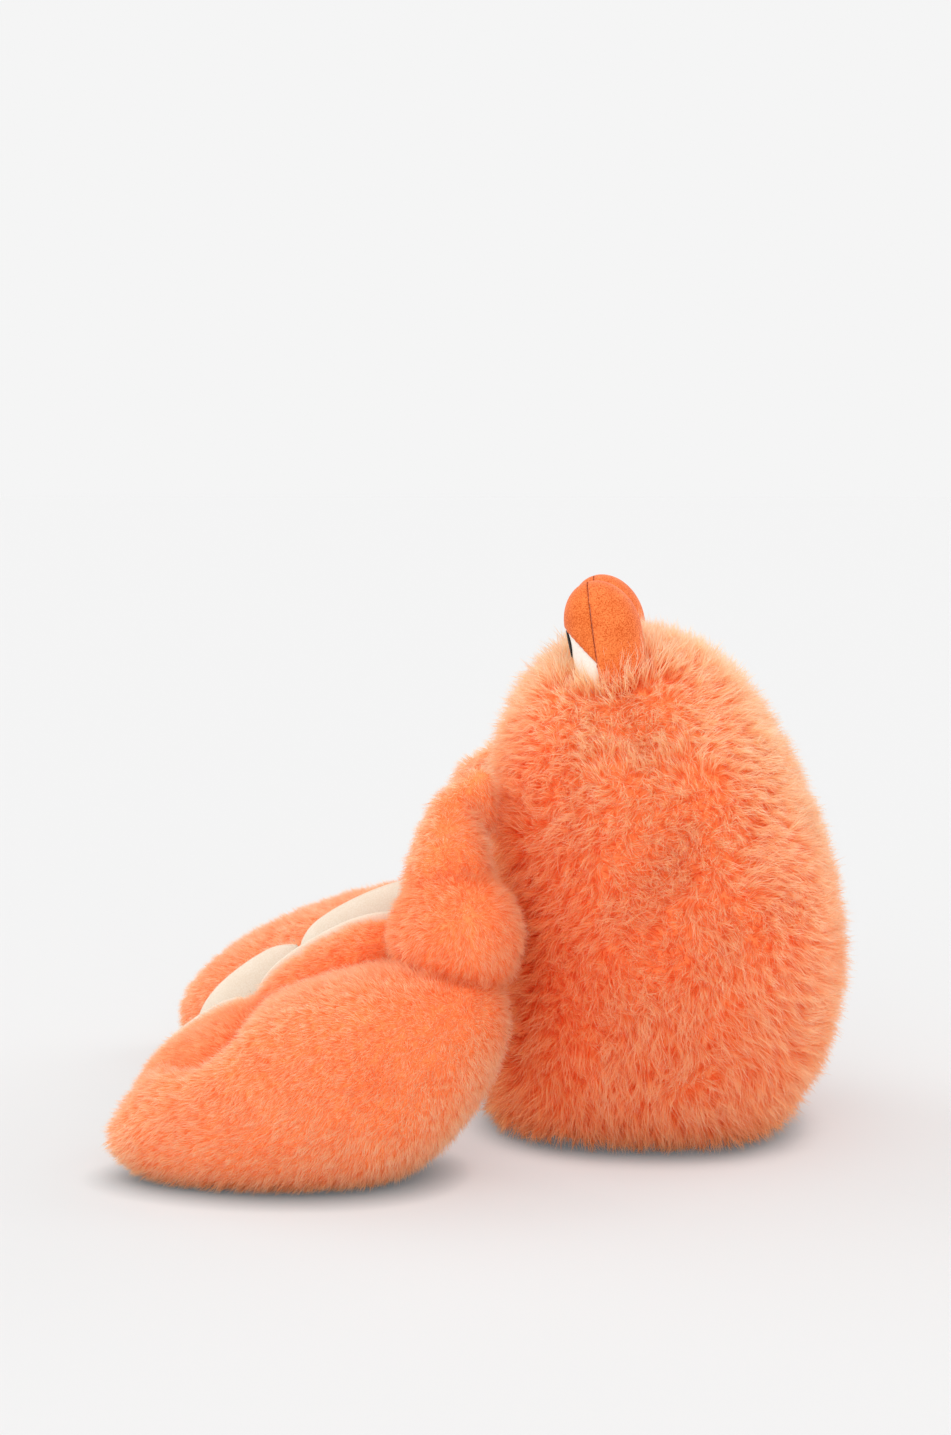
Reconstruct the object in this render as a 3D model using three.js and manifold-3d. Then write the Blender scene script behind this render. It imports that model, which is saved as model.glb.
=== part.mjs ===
// A sitting plush crab: a furry egg of a body, two eyes on top, and two arms that end in big claws.
// Millimetres, +Z up. The crab faces -Y and its left side is +X. The floor is z = 0.
// Furry covers are drawn to the middle of their pile.

import * as THREE from 'three';
import { mergeVertices } from 'three/addons/utils/BufferGeometryUtils.js';
import Module from 'manifold-3d';

const wasm = await Module();
wasm.setup();

// Body
const BODY_HEIGHT = 267;
const BODY_WIDEST_Z = 90;
const BODY_WIDTH = { half: 106, upperPower: 1.85, lowerPower: 2, lowerReach: 102 };
const BODY_DEPTH = { half: 90, upperPower: 2.4, lowerPower: 2.8, lowerReach: 115 };
const BODY_PLAN_POWER = 2.6;
const BODY_TOP_LEAN = 20;
const BODY_TOP_LEAN_DROP = 20;
const BODY_BASE_LEAN = 20;
const BODY_COVER = 6;
const BASE_HEM = 12;
const BASE_PANEL = 4;
const PELLET_BAG_TOP = 46;

// Eyes
const EYE_RISE = 5;
const EYE_CENTRE = new THREE.Vector3(37, -35, BODY_HEIGHT + EYE_RISE);
const EYE_HALF = new THREE.Vector3(18, 20, 24);
const EYE_PANEL = 2;
const EYE_SEAM_Y = -5;
const EYE_SEAM_LEAN = 7.8;
const LID_EDGE_TURN = 45;
const LID_EDGE_DROP = 21;
const PUPIL_HALF = 8.5;
const PUPIL_THICKNESS = 1.2;
const PUPIL_DROP = 8;

// Arms
const SHOULDER_X = 50;
const SHOULDER_Z = 172;
const SHOULDER_RADIUS = 15;
const SHOULDER_SEAT = 4;
const ARM_TOP = new THREE.Vector3(61, -110, 176);
const ARM_TOP_RADIUS = 16.5;
const ARM_END_RADIUS = 22;
const ARM_COVER = 4;
const ELBOW = new THREE.Vector3(94, -106, 118);
const FOREARM_RADIUS = 30;
const FOREARM_COVER = 5;
const ARM_CUP_REACH = 0.5;
const ARM_SWELL = 1.2;
const FILL_HOLE = 8;

// Claws
const LEFT_CLAW = { length: 201, tipPower: 0.64 };
const RIGHT_CLAW = { length: 222, tipPower: 0.5 };
const CLAW_REAR_Y = -78;
const CLAW_HALF_HEIGHT = 56;
const CLAW_HALF_WIDTH = 48;
const CLAW_FULLEST_AT = 0.36;
const CLAW_TAPER = 1.75;
const CLAW_SECTION_POWER = 2.4;
const CLAW_TIP_Z = 17;
const CLAW_RISE = 47;
const CLAW_REAR_LIFT = 17;
const CLAW_X = 101;
const CLAW_SPLAY = 28;
const CLAW_COVER = 5;
const CLAW_CUP_AIM = new THREE.Vector3(12, -40, -80);
const DENT_CENTRE = new THREE.Vector3(104, -236, 92);
const DENT_HALF = new THREE.Vector3(80, 40, 42);

// Inner finger of each claw, which carries two padded teeth
const TOOTH_SEAM_X = 66;
const FRONT_TOOTH = { y: -231, z: 42, long: 46, high: 27, face: 14, back: 32, slope: 36.5 };
// The left finger lies out over the dent of its claw.
const LEFT_FRONT_TOOTH = { ...FRONT_TOOTH, back: 84 };
const REAR_TOOTH = { y: -167, z: 83, long: 53, high: 30, face: 15, back: 28, slope: 31 };
const TOOTH_POWER = 2.5;
const TOOTH_NOTCH = new THREE.Vector3(TOOTH_SEAM_X, -216, 79);
const TOOTH_NOTCH_SLOPE = 34;
const PINCH_PIVOT = new THREE.Vector3(84, -112, 0);
const PINCH_OPEN = 12;
const PINCH_STEPS = 4;

// Clearances
const SEWN_GAP = 0.3;
const FILL_GAP = 0.5;
const TURNING_GAP = 0.7;

// Colours
const COLOURS = {
  longFur: 0xf5793f,
  shortFur: 0xf98a55,
  velour: 0xf2652c,
  lid: 0xf57a3c,
  cream: 0xf0d8bf,
  white: 0xf4efe8,
  black: 0x1b1a1a,
  base: 0xd9632f,
  fill: 0xf3f1ec,
  pellets: 0xd9d2c4,
};

const BIG = 1000;

// Mesh helpers
function toSolid(geometry) {
  const bare = geometry.clone();
  bare.deleteAttribute('normal');
  bare.deleteAttribute('uv');
  const merged = mergeVertices(bare, 1e-4);
  const mesh = new wasm.Mesh({
    numProp: 3,
    vertProperties: new Float32Array(merged.attributes.position.array),
    triVerts: new Uint32Array(merged.index.array),
  });
  return new wasm.Manifold(mesh);
}

function toGeometry(solid) {
  const mesh = solid.getMesh();
  const geometry = new THREE.BufferGeometry();
  const count = mesh.vertProperties.length / mesh.numProp;
  const position = new Float32Array(count * 3);
  for (let i = 0; i < count; i += 1) {
    position[3 * i] = mesh.vertProperties[mesh.numProp * i];
    position[3 * i + 1] = mesh.vertProperties[mesh.numProp * i + 1];
    position[3 * i + 2] = mesh.vertProperties[mesh.numProp * i + 2];
  }
  geometry.setAttribute('position', new THREE.BufferAttribute(position, 3));
  geometry.setIndex(new THREE.BufferAttribute(new Uint32Array(mesh.triVerts), 1));
  return geometry;
}

// A closed skin over a row of rings, with a point at each end.
function skinSolid(rings, first, last) {
  const around = rings[0].length;
  const points = [first];
  rings.forEach((ring) => points.push(...ring));
  points.push(last);
  const end = points.length - 1;
  const index = [];
  const at = (row, k) => 1 + row * around + (k % around);
  for (let k = 0; k < around; k += 1) {
    index.push(0, at(0, k + 1), at(0, k));
    index.push(end, at(rings.length - 1, k), at(rings.length - 1, k + 1));
    for (let row = 0; row + 1 < rings.length; row += 1) {
      index.push(at(row, k), at(row, k + 1), at(row + 1, k));
      index.push(at(row, k + 1), at(row + 1, k + 1), at(row + 1, k));
    }
  }
  const geometry = new THREE.BufferGeometry();
  geometry.setFromPoints(points);
  geometry.setIndex(index);
  return toSolid(geometry);
}

// One point of a rounded outline that runs from a diamond (1) through an oval (2) towards a box.
function roundPoint(angle, power) {
  const c = Math.cos(angle);
  const s = Math.sin(angle);
  const reach = (Math.abs(c) ** power + Math.abs(s) ** power) ** (-1 / power);
  return [c * reach, s * reach];
}

function ovalSolid(centre, half, across, up) {
  const geometry = new THREE.SphereGeometry(1, across, up);
  geometry.scale(half.x, half.y, half.z);
  geometry.translate(centre.x, centre.y, centre.z);
  return toSolid(geometry);
}

function ballSolid(centre, radius, across, up) {
  return ovalSolid(centre, new THREE.Vector3(radius, radius, radius), across, up);
}

function boxSolid(low, high) {
  const size = high.clone().sub(low);
  const geometry = new THREE.BoxGeometry(size.x, size.y, size.z);
  geometry.translate((low.x + high.x) / 2, (low.y + high.y) / 2, (low.z + high.z) / 2);
  return toSolid(geometry);
}

// Everything on one side of a plane that holds the X direction; turn is degrees from facing -Y, downwards.
function slabSolid(y, z, turn) {
  const geometry = new THREE.BoxGeometry(BIG, BIG, BIG);
  geometry.translate(0, -BIG / 2, 0);
  geometry.rotateX(THREE.MathUtils.degToRad(turn));
  geometry.translate(0, y, z);
  return toSolid(geometry);
}

function rodSolid(from, to, radius, across) {
  const way = to.clone().sub(from);
  const geometry = new THREE.CylinderGeometry(radius, radius, way.length(), across);
  const turn = new THREE.Quaternion();
  turn.setFromUnitVectors(new THREE.Vector3(0, 1, 0), way.clone().normalize());
  geometry.applyQuaternion(turn);
  const middle = from.clone().add(to).multiplyScalar(0.5);
  geometry.translate(middle.x, middle.y, middle.z);
  return toSolid(geometry);
}

// Everything between two heights.
function layerSolid(low, high) {
  return boxSolid(new THREE.Vector3(-BIG, -BIG, low), new THREE.Vector3(BIG, BIG, high));
}

const BELOW_FLOOR = layerSolid(-BIG, 0);

// Body form
function bodySwell(z, inset, size) {
  const top = BODY_HEIGHT - inset;
  if (z >= BODY_WIDEST_Z) {
    const up = Math.min(1, (z - BODY_WIDEST_Z) / (top - BODY_WIDEST_Z));
    return (1 - up ** size.upperPower) ** (1 / size.upperPower);
  }
  const down = (BODY_WIDEST_Z - z) / size.lowerReach;
  return (1 - down ** size.lowerPower) ** (1 / size.lowerPower);
}

function bodyLean(z) {
  if (z >= BODY_WIDEST_Z) {
    const up = Math.min(1, (z - BODY_WIDEST_Z) / (BODY_HEIGHT - BODY_WIDEST_Z - BODY_TOP_LEAN_DROP));
    return (-BODY_TOP_LEAN * (1 - Math.cos(up * Math.PI))) / 2;
  }
  return -BODY_BASE_LEAN * ((BODY_WIDEST_Z - z) / BODY_WIDEST_Z) ** 1.4;
}

function bodyRing(z, inset, around) {
  const wide = (BODY_WIDTH.half - inset) * bodySwell(z, inset, BODY_WIDTH);
  const deep = (BODY_DEPTH.half - inset) * bodySwell(z, inset, BODY_DEPTH);
  const ring = [];
  for (let k = 0; k < around; k += 1) {
    const [x, y] = roundPoint((2 * Math.PI * k) / around, BODY_PLAN_POWER);
    ring.push(new THREE.Vector3(x * wide, bodyLean(z) + y * deep, z));
  }
  return ring;
}

function bodySolid(inset, floor, around, along) {
  const top = BODY_HEIGHT - inset;
  const rings = [];
  for (let row = 0; row < along; row += 1) {
    const part = Math.sin((row / along) * (Math.PI / 2));
    rings.push(bodyRing(floor + (top - floor) * part, inset, around));
  }
  const bottom = new THREE.Vector3(0, bodyLean(floor), floor);
  return skinSolid(rings, bottom, new THREE.Vector3(0, bodyLean(top), top));
}

function basePlate(inset, low, high, around) {
  const rings = [low, high].map((z) => bodyRing(0, inset, around).map((p) => p.setZ(z)));
  const middle = bodyLean(0);
  return skinSolid(rings, new THREE.Vector3(0, middle, low), new THREE.Vector3(0, middle, high));
}

// The point of the body's front at a height and a distance from the middle, and the way out of it.
function bodyFront(x, z) {
  const across = Math.abs(x) / (BODY_WIDTH.half * bodySwell(z, 0, BODY_WIDTH));
  const round = (1 - across ** BODY_PLAN_POWER) ** (1 / BODY_PLAN_POWER);
  const deep = BODY_DEPTH.half * bodySwell(z, 0, BODY_DEPTH) * round;
  return new THREE.Vector3(x, bodyLean(z) - deep, z);
}

function bodyOutward(x, z) {
  const step = 0.5;
  const along = bodyFront(x + step, z).sub(bodyFront(x - step, z));
  const up = bodyFront(x, z + step).sub(bodyFront(x, z - step));
  return along.cross(up).normalize();
}

const shoulderOut = bodyOutward(SHOULDER_X, SHOULDER_Z);
const SHOULDER = bodyFront(SHOULDER_X, SHOULDER_Z);
SHOULDER.addScaledVector(shoulderOut, SHOULDER_RADIUS - SHOULDER_SEAT);

// A round bar that swells between its two ends, with a ball at its start.
function taperSolid(from, to, startRadius, endRadius, around, along) {
  const way = to.clone().sub(from);
  const reach = way.length();
  way.normalize();
  const turn = new THREE.Quaternion().setFromUnitVectors(new THREE.Vector3(0, 0, 1), way);
  const slope = Math.asin((endRadius - startRadius) / reach);
  const rings = [];
  const place = (distance, radius) => {
    const ring = [];
    for (let k = 0; k < around; k += 1) {
      const angle = (2 * Math.PI * k) / around;
      const point = new THREE.Vector3(radius * Math.cos(angle), radius * Math.sin(angle), distance);
      ring.push(point.applyQuaternion(turn).add(from));
    }
    return ring;
  };
  for (let row = 1; row <= along; row += 1) {
    const angle = (row / along) * (Math.PI / 2 + slope);
    rings.push(place(-startRadius * Math.cos(angle), startRadius * Math.sin(angle)));
  }
  rings.push(place(reach * 0.55, (startRadius + endRadius) / 2 + ARM_SWELL));
  rings.push(place(reach, endRadius));
  const first = new THREE.Vector3(0, 0, -startRadius).applyQuaternion(turn).add(from);
  return skinSolid(rings, first, to.clone());
}

const armWay = ELBOW.clone().sub(ARM_TOP).normalize();
const armEnd = ELBOW.clone().addScaledVector(armWay, -FOREARM_RADIUS * ARM_CUP_REACH);

function armSolid(inset, around, along) {
  return taperSolid(ARM_TOP, armEnd, ARM_TOP_RADIUS - inset, ARM_END_RADIUS - inset, around, along);
}

// Claw form
function clawSwell(claw, along) {
  if (along <= CLAW_FULLEST_AT) {
    const back = (CLAW_FULLEST_AT - along) / CLAW_FULLEST_AT;
    return Math.sqrt(1 - back ** 2);
  }
  const ahead = (along - CLAW_FULLEST_AT) / (1 - CLAW_FULLEST_AT);
  return (1 - ahead ** CLAW_TAPER) ** claw.tipPower;
}

function clawMiddle(claw, along) {
  const run = Math.min(1, Math.max(0, along));
  const lift = Math.max(0, 1 - run / 0.3) ** 2;
  const z = CLAW_TIP_Z + CLAW_RISE * (1 - run) ** 0.75 + CLAW_REAR_LIFT * lift;
  const x = CLAW_X + CLAW_SPLAY * (1 - (1 - run) ** 2);
  return new THREE.Vector3(x, CLAW_REAR_Y - claw.length * along, z);
}

function clawSolid(claw, inset, around, along) {
  const rings = [];
  const shrink = inset / claw.length;
  for (let row = 1; row < along; row += 1) {
    const part = (1 - Math.cos((Math.PI * row) / along)) / 2;
    const place = shrink + (1 - 2 * shrink) * part;
    const middle = clawMiddle(claw, place);
    const swell = clawSwell(claw, part);
    const ring = [];
    for (let k = 0; k < around; k += 1) {
      const [x, z] = roundPoint((2 * Math.PI * k) / around, CLAW_SECTION_POWER);
      const wide = (CLAW_HALF_WIDTH - inset) * swell;
      const high = (CLAW_HALF_HEIGHT - inset) * swell;
      ring.push(new THREE.Vector3(middle.x + x * wide, middle.y, middle.z + z * high));
    }
    rings.push(ring);
  }
  return skinSolid(rings, clawMiddle(claw, shrink), clawMiddle(claw, 1 - shrink));
}

// Tooth form, a pillow that is thin at its seam
function toothSolid(tooth, around, along) {
  const turn = THREE.MathUtils.degToRad(tooth.slope);
  const rings = [];
  for (let row = 1; row < along; row += 1) {
    const angle = -Math.PI / 2 + (Math.PI * row) / along;
    const ring = [];
    for (let k = 0; k < around; k += 1) {
      const [u, v] = roundPoint((2 * Math.PI * k) / around, TOOTH_POWER);
      const far = Math.cos(angle) ** 0.8;
      const run = u * tooth.long * far;
      const rise = v * tooth.high * far;
      const out = Math.sin(angle) * (angle < 0 ? tooth.face : tooth.back);
      const y = tooth.y + run * Math.cos(turn) - rise * Math.sin(turn);
      const z = tooth.z + run * Math.sin(turn) + rise * Math.cos(turn);
      ring.push(new THREE.Vector3(TOOTH_SEAM_X + out, y, z));
    }
    rings.push(ring);
  }
  const inner = new THREE.Vector3(TOOTH_SEAM_X - tooth.face, tooth.y, tooth.z);
  const outer = new THREE.Vector3(TOOTH_SEAM_X + tooth.back, tooth.y, tooth.z);
  return skinSolid(rings, inner, outer);
}

// Body pieces
const bodyForm = bodySolid(0, 0, 32, 14);
const bodyNear = bodySolid(-SEWN_GAP, 0, 32, 14);
const shoulderSeat = ballSolid(SHOULDER, SHOULDER_RADIUS + TURNING_GAP, 20, 12);
const otherSeat = shoulderSeat.mirror([1, 0, 0]);
const bodyRoom = bodySolid(BODY_COVER, BODY_COVER, 20, 9);
const baseHole = basePlate(BASE_HEM, -1, BODY_COVER + 1, 24);

const bodyCover = bodyForm.subtract(bodyRoom).subtract(baseHole).subtract(shoulderSeat).subtract(otherSeat);
const basePanel = basePlate(BASE_HEM + SEWN_GAP, 0, BASE_PANEL, 24);
const bodyFill = bodySolid(BODY_COVER + FILL_GAP, BODY_COVER, 20, 9);
const bagFloor = BODY_COVER + SEWN_GAP;
const pelletBag = bodyFill.intersect(layerSolid(bagFloor, PELLET_BAG_TOP));
const bodyFilling = bodyFill.intersect(layerSolid(PELLET_BAG_TOP + SEWN_GAP, BIG));

// Eye pieces, made for the left side
const eyeInner = EYE_HALF.clone().subScalar(EYE_PANEL);
const eyeBallForm = ovalSolid(EYE_CENTRE, eyeInner, 16, 10).subtract(bodyNear);
const eyeShellRoom = ovalSolid(EYE_CENTRE, eyeInner.clone().addScalar(SEWN_GAP), 16, 10);
const eyeShell = ovalSolid(EYE_CENTRE, EYE_HALF, 18, 11).subtract(eyeShellRoom).subtract(bodyNear);
const seamY = EYE_CENTRE.y + EYE_SEAM_Y;
const eyeFront = slabSolid(seamY, EYE_CENTRE.z, EYE_SEAM_LEAN);
const eyeFrontLess = slabSolid(seamY - SEWN_GAP, EYE_CENTRE.z, EYE_SEAM_LEAN);
const belowLid = slabSolid(EYE_CENTRE.y, EYE_CENTRE.z - LID_EDGE_DROP, LID_EDGE_TURN);
const eyeBack = eyeShell.subtract(eyeFront);
const eyelid = eyeShell.intersect(eyeFrontLess).subtract(belowLid);

const pupilCentre = EYE_CENTRE.clone().add(new THREE.Vector3(0, -eyeInner.y, -PUPIL_DROP));
const pupilColumn = rodSolid(
  pupilCentre.clone().add(new THREE.Vector3(0, -PUPIL_HALF, 0)),
  pupilCentre.clone().add(new THREE.Vector3(0, PUPIL_HALF, 0)),
  PUPIL_HALF,
  16,
);
const pupilSkin = eyeInner.clone().addScalar(PUPIL_THICKNESS + SEWN_GAP);
const lidRoom = slabSolid(EYE_CENTRE.y - SEWN_GAP, EYE_CENTRE.z - LID_EDGE_DROP - SEWN_GAP, LID_EDGE_TURN);
const pupil = ovalSolid(EYE_CENTRE, pupilSkin, 18, 11)
  .subtract(eyeShellRoom)
  .intersect(pupilColumn)
  .intersect(lidRoom)
  .subtract(bodyNear);

// Arm pieces, made for the left side
const cupBall = ballSolid(ELBOW, FOREARM_RADIUS + TURNING_GAP, 26, 16);
const cupBack = ballSolid(ELBOW, FOREARM_RADIUS + TURNING_GAP + ARM_COVER, 16, 10);
const cupBackLess = ballSolid(ELBOW, FOREARM_RADIUS + TURNING_GAP + ARM_COVER + FILL_GAP, 16, 10);
const armHole = rodSolid(ARM_TOP.clone().addScaledVector(armWay, ARM_TOP_RADIUS), ELBOW, FILL_HOLE, 12);
const armRoot = taperSolid(SHOULDER, ARM_TOP, SHOULDER_RADIUS, SHOULDER_RADIUS, 14, 4);
const besideBody = bodyNear.subtract(shoulderSeat);
const armForm = armSolid(0, 18, 4).add(armRoot).subtract(cupBall).subtract(besideBody);
const armRoom = armSolid(ARM_COVER, 12, 3).subtract(cupBack);
const armCover = armForm.subtract(armRoom).subtract(armHole);
const armFilling = armSolid(ARM_COVER + FILL_GAP, 12, 3).subtract(cupBackLess);

const forearmForm = ballSolid(ELBOW, FOREARM_RADIUS, 22, 14);
const forearmRoom = ballSolid(ELBOW, FOREARM_RADIUS - FOREARM_COVER, 12, 8);
const forearmHole = rodSolid(ELBOW, ELBOW.clone().addScaledVector(armWay, -FOREARM_RADIUS - 2), FILL_HOLE, 12);
const forearmCover = forearmForm.subtract(forearmRoom).subtract(forearmHole);
const forearmFilling = ballSolid(ELBOW, FOREARM_RADIUS - FOREARM_COVER - FILL_GAP, 12, 8);

// Claw pieces, made on the left side for either claw
const dent = ovalSolid(DENT_CENTRE, DENT_HALF, 18, 10);
const dentBack = ovalSolid(DENT_CENTRE, DENT_HALF.clone().addScalar(CLAW_COVER), 14, 8);
const dentBackLess = ovalSolid(DENT_CENTRE, DENT_HALF.clone().addScalar(CLAW_COVER + FILL_GAP), 14, 8);
const clawCup = ballSolid(ELBOW, FOREARM_RADIUS + TURNING_GAP + CLAW_COVER, 16, 10);
const clawCupLess = ballSolid(ELBOW, FOREARM_RADIUS + TURNING_GAP + CLAW_COVER + FILL_GAP, 16, 10);
const clawFloor = layerSolid(-BIG, CLAW_COVER);
const clawFloorLess = layerSolid(-BIG, CLAW_COVER + FILL_GAP);
const clawHole = rodSolid(ELBOW, ELBOW.clone().add(CLAW_CUP_AIM), FILL_HOLE, 12);

function clawPieces(claw) {
  const form = clawSolid(claw, 0, 22, 14).subtract(BELOW_FLOOR).subtract(cupBall);
  const room = clawSolid(claw, CLAW_COVER, 14, 9).subtract(clawFloor).subtract(clawCup);
  const filling = clawSolid(claw, CLAW_COVER + FILL_GAP, 14, 9).subtract(clawFloorLess).subtract(clawCupLess);
  return { form, room, filling };
}

const leftClaw = clawPieces(LEFT_CLAW);
const dentedClawRoom = leftClaw.room.subtract(dentBack);
const leftClawCover = leftClaw.form.subtract(dent).subtract(dentedClawRoom).subtract(clawHole);
const leftClawFilling = leftClaw.filling.subtract(dentBackLess);
const rightClaw = clawPieces(RIGHT_CLAW);
const rightClawCover = rightClaw.form.subtract(rightClaw.room).subtract(clawHole);

// Finger pieces, made on the left side for either claw
const frontTooth = toothSolid(FRONT_TOOTH, 22, 8);
const leftFrontTooth = toothSolid(LEFT_FRONT_TOOTH, 22, 10);
const rearTooth = toothSolid(REAR_TOOTH, 22, 8);
const dentLess = ovalSolid(DENT_CENTRE, DENT_HALF.clone().subScalar(SEWN_GAP), 18, 10);
const leftLobe = clawSolid(LEFT_CLAW, -SEWN_GAP, 22, 14).subtract(dentLess);
const rightLobe = clawSolid(RIGHT_CLAW, -SEWN_GAP, 22, 14);
const innerSide = boxSolid(new THREE.Vector3(-BIG, -BIG, -BIG), new THREE.Vector3(TOOTH_SEAM_X, BIG, BIG));
const outerSide = boxSolid(
  new THREE.Vector3(TOOTH_SEAM_X + SEWN_GAP, -BIG, -BIG),
  new THREE.Vector3(BIG, BIG, BIG),
);
const ahead = slabSolid(TOOTH_NOTCH.y - SEWN_GAP, TOOTH_NOTCH.z, TOOTH_NOTCH_SLOPE);
const notAhead = slabSolid(TOOTH_NOTCH.y, TOOTH_NOTCH.z, TOOTH_NOTCH_SLOPE);

function lobeSeenFromFinger(lobe, degrees) {
  return lobe
    .translate([-PINCH_PIVOT.x, -PINCH_PIVOT.y, 0])
    .rotate([0, 0, degrees])
    .translate([PINCH_PIVOT.x, PINCH_PIVOT.y, 0]);
}

// The finger is cut back from its claw over the whole swing.
function fingerPieces(lobe, foremost) {
  let room = cupBall;
  for (let step = 0; step <= PINCH_STEPS; step += 1) {
    room = room.add(lobeSeenFromFinger(lobe, (PINCH_OPEN * step) / PINCH_STEPS));
  }
  const bothTeeth = foremost.add(rearTooth).subtract(BELOW_FLOOR);
  const back = bothTeeth.intersect(outerSide).subtract(room);
  const frontPad = foremost.intersect(innerSide).intersect(ahead).subtract(room);
  const rearPad = rearTooth.intersect(innerSide).subtract(notAhead).subtract(room);
  return { back, frontPad, rearPad };
}

const leftFinger = fingerPieces(leftLobe, leftFrontTooth);
const rightFinger = fingerPieces(rightLobe, frontTooth);

// Named pieces
const group = new THREE.Group();
group.name = 'plush_crab';

function addPiece(name, solid, colour, roughness) {
  const material = new THREE.MeshStandardMaterial({ color: colour, roughness });
  const geometry = toGeometry(solid);
  geometry.computeVertexNormals();
  const mesh = new THREE.Mesh(geometry, material);
  mesh.name = name;
  group.add(mesh);
}

function addPair(name, solid, colour, roughness) {
  addTwo(name, solid, solid, colour, roughness);
}

// Both solids are drawn on the left; the second is mirrored to the right.
function addTwo(name, leftSolid, rightSolid, colour, roughness) {
  addPiece('left_' + name, leftSolid, colour, roughness);
  addPiece('right_' + name, rightSolid.mirror([1, 0, 0]), colour, roughness);
}

addPiece('body_cover', bodyCover, COLOURS.longFur, 0.95);
addPiece('base_panel', basePanel, COLOURS.base, 0.9);
addPiece('body_filling', bodyFilling, COLOURS.fill, 1);
addPiece('pellet_bag', pelletBag, COLOURS.pellets, 0.9);
addPair('eye_ball', eyeBallForm, COLOURS.white, 0.8);
addPair('eye_back', eyeBack, COLOURS.velour, 0.9);
addPair('eyelid', eyelid, COLOURS.lid, 0.9);
addPair('pupil', pupil, COLOURS.black, 0.6);
addPair('upper_arm_cover', armCover, COLOURS.shortFur, 0.95);
addPair('upper_arm_filling', armFilling, COLOURS.fill, 1);
addPair('forearm_cover', forearmCover, COLOURS.shortFur, 0.95);
addPair('forearm_filling', forearmFilling, COLOURS.fill, 1);
addTwo('claw_cover', leftClawCover, rightClawCover, COLOURS.shortFur, 0.95);
addTwo('claw_filling', leftClawFilling, rightClaw.filling, COLOURS.fill, 1);
addTwo('finger_back', leftFinger.back, rightFinger.back, COLOURS.shortFur, 0.95);
addTwo('front_tooth_pad', leftFinger.frontPad, rightFinger.frontPad, COLOURS.cream, 0.85);
addTwo('rear_tooth_pad', leftFinger.rearPad, rightFinger.rearPad, COLOURS.cream, 0.85);

export default group;
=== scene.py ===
# %% [markdown]
# # Dressing a plush crab
# The toy is an egg of long-pile cloth with two stuffed eyes on top. Two floppy arms of short-pile cloth
# end in big claws, and each claw has an inner finger with two smooth cream teeth. The solid model already
# gives every piece its size and its joint. This lesson gives each piece its cloth: stuffed skins first,
# then the pile that grows on them, then the smooth pieces, seams and stitches.

# %% Load the frame
import math

import bmesh
import bpy
import numpy as np
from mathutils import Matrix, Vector, noise
from mathutils.bvhtree import BVHTree


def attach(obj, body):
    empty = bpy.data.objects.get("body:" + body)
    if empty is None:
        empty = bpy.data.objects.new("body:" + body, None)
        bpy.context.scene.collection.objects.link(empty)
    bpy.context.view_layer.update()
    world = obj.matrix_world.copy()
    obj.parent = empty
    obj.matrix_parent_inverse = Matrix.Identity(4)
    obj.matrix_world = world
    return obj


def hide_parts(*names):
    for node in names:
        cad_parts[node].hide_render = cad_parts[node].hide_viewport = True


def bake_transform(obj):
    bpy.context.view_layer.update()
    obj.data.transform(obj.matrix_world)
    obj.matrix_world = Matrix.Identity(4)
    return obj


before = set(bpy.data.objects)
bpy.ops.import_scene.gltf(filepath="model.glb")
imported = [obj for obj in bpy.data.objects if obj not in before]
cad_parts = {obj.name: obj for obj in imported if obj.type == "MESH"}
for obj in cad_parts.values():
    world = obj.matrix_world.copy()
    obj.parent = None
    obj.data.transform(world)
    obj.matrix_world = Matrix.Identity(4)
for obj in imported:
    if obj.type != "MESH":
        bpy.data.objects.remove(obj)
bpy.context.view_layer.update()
MM = 0.001
scene = bpy.context.scene

# %% [markdown]
# ## Helpers
# Colours are written as the eye sees them, in sRGB hex, and shaders want linear light, so one function
# turns them. Another adds a node to any tree, gives it its settings, and links or fills its inputs by
# name. The short ones after it do sums on numbers and vectors, start a material, and put a mesh, lamp or
# camera into the scene.


# %% Colour and node helpers
def linear(hex_code):
    parts = [int(hex_code[i:i + 2], 16) / 255 for i in (1, 3, 5)]
    return (*[p / 12.92 if p <= 0.04045 else ((p + 0.055) / 1.055) ** 2.4 for p in parts], 1.0)


def find_socket(sockets, key):
    if isinstance(key, int):
        return sockets[key]
    return next(s for s in sockets if s.name == key and s.enabled)


def add(tree, kind, inputs=None, **settings):
    node = tree.nodes.new(kind)
    for key, value in settings.items():
        setattr(node, key, value)
    for key, value in (inputs or {}).items():
        target = find_socket(node.inputs, key)
        if isinstance(value, bpy.types.NodeSocket):
            tree.links.new(value, target)
        else:
            target.default_value = value
    return node


def result(node, key=None):
    if key is None:
        return next(s for s in node.outputs if s.enabled)
    return find_socket(node.outputs, key)


def maths(tree, operation, *values):
    """The answer of a sum on numbers."""
    return result(add(tree, "ShaderNodeMath", dict(enumerate(values)), operation=operation))


def vector_maths(tree, operation, first, second):
    """The answer of a sum on vectors; SCALE takes a number second."""
    inputs = {0: first, "Scale" if operation == "SCALE" else 1: second}
    return result(add(tree, "ShaderNodeVectorMath", inputs, operation=operation))


def new_material(name, roughness, shine):
    """A material, its node tree and its main shader."""
    material = bpy.data.materials.new(name)
    material.use_nodes = True
    shader = material.node_tree.nodes["Principled BSDF"]
    shader.inputs["Roughness"].default_value = roughness
    shader.inputs["Specular IOR Level"].default_value = shine
    return material, material.node_tree, shader


def show(name, data):
    item = bpy.data.objects.new(name, data)
    scene.collection.objects.link(item)
    return item


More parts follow.
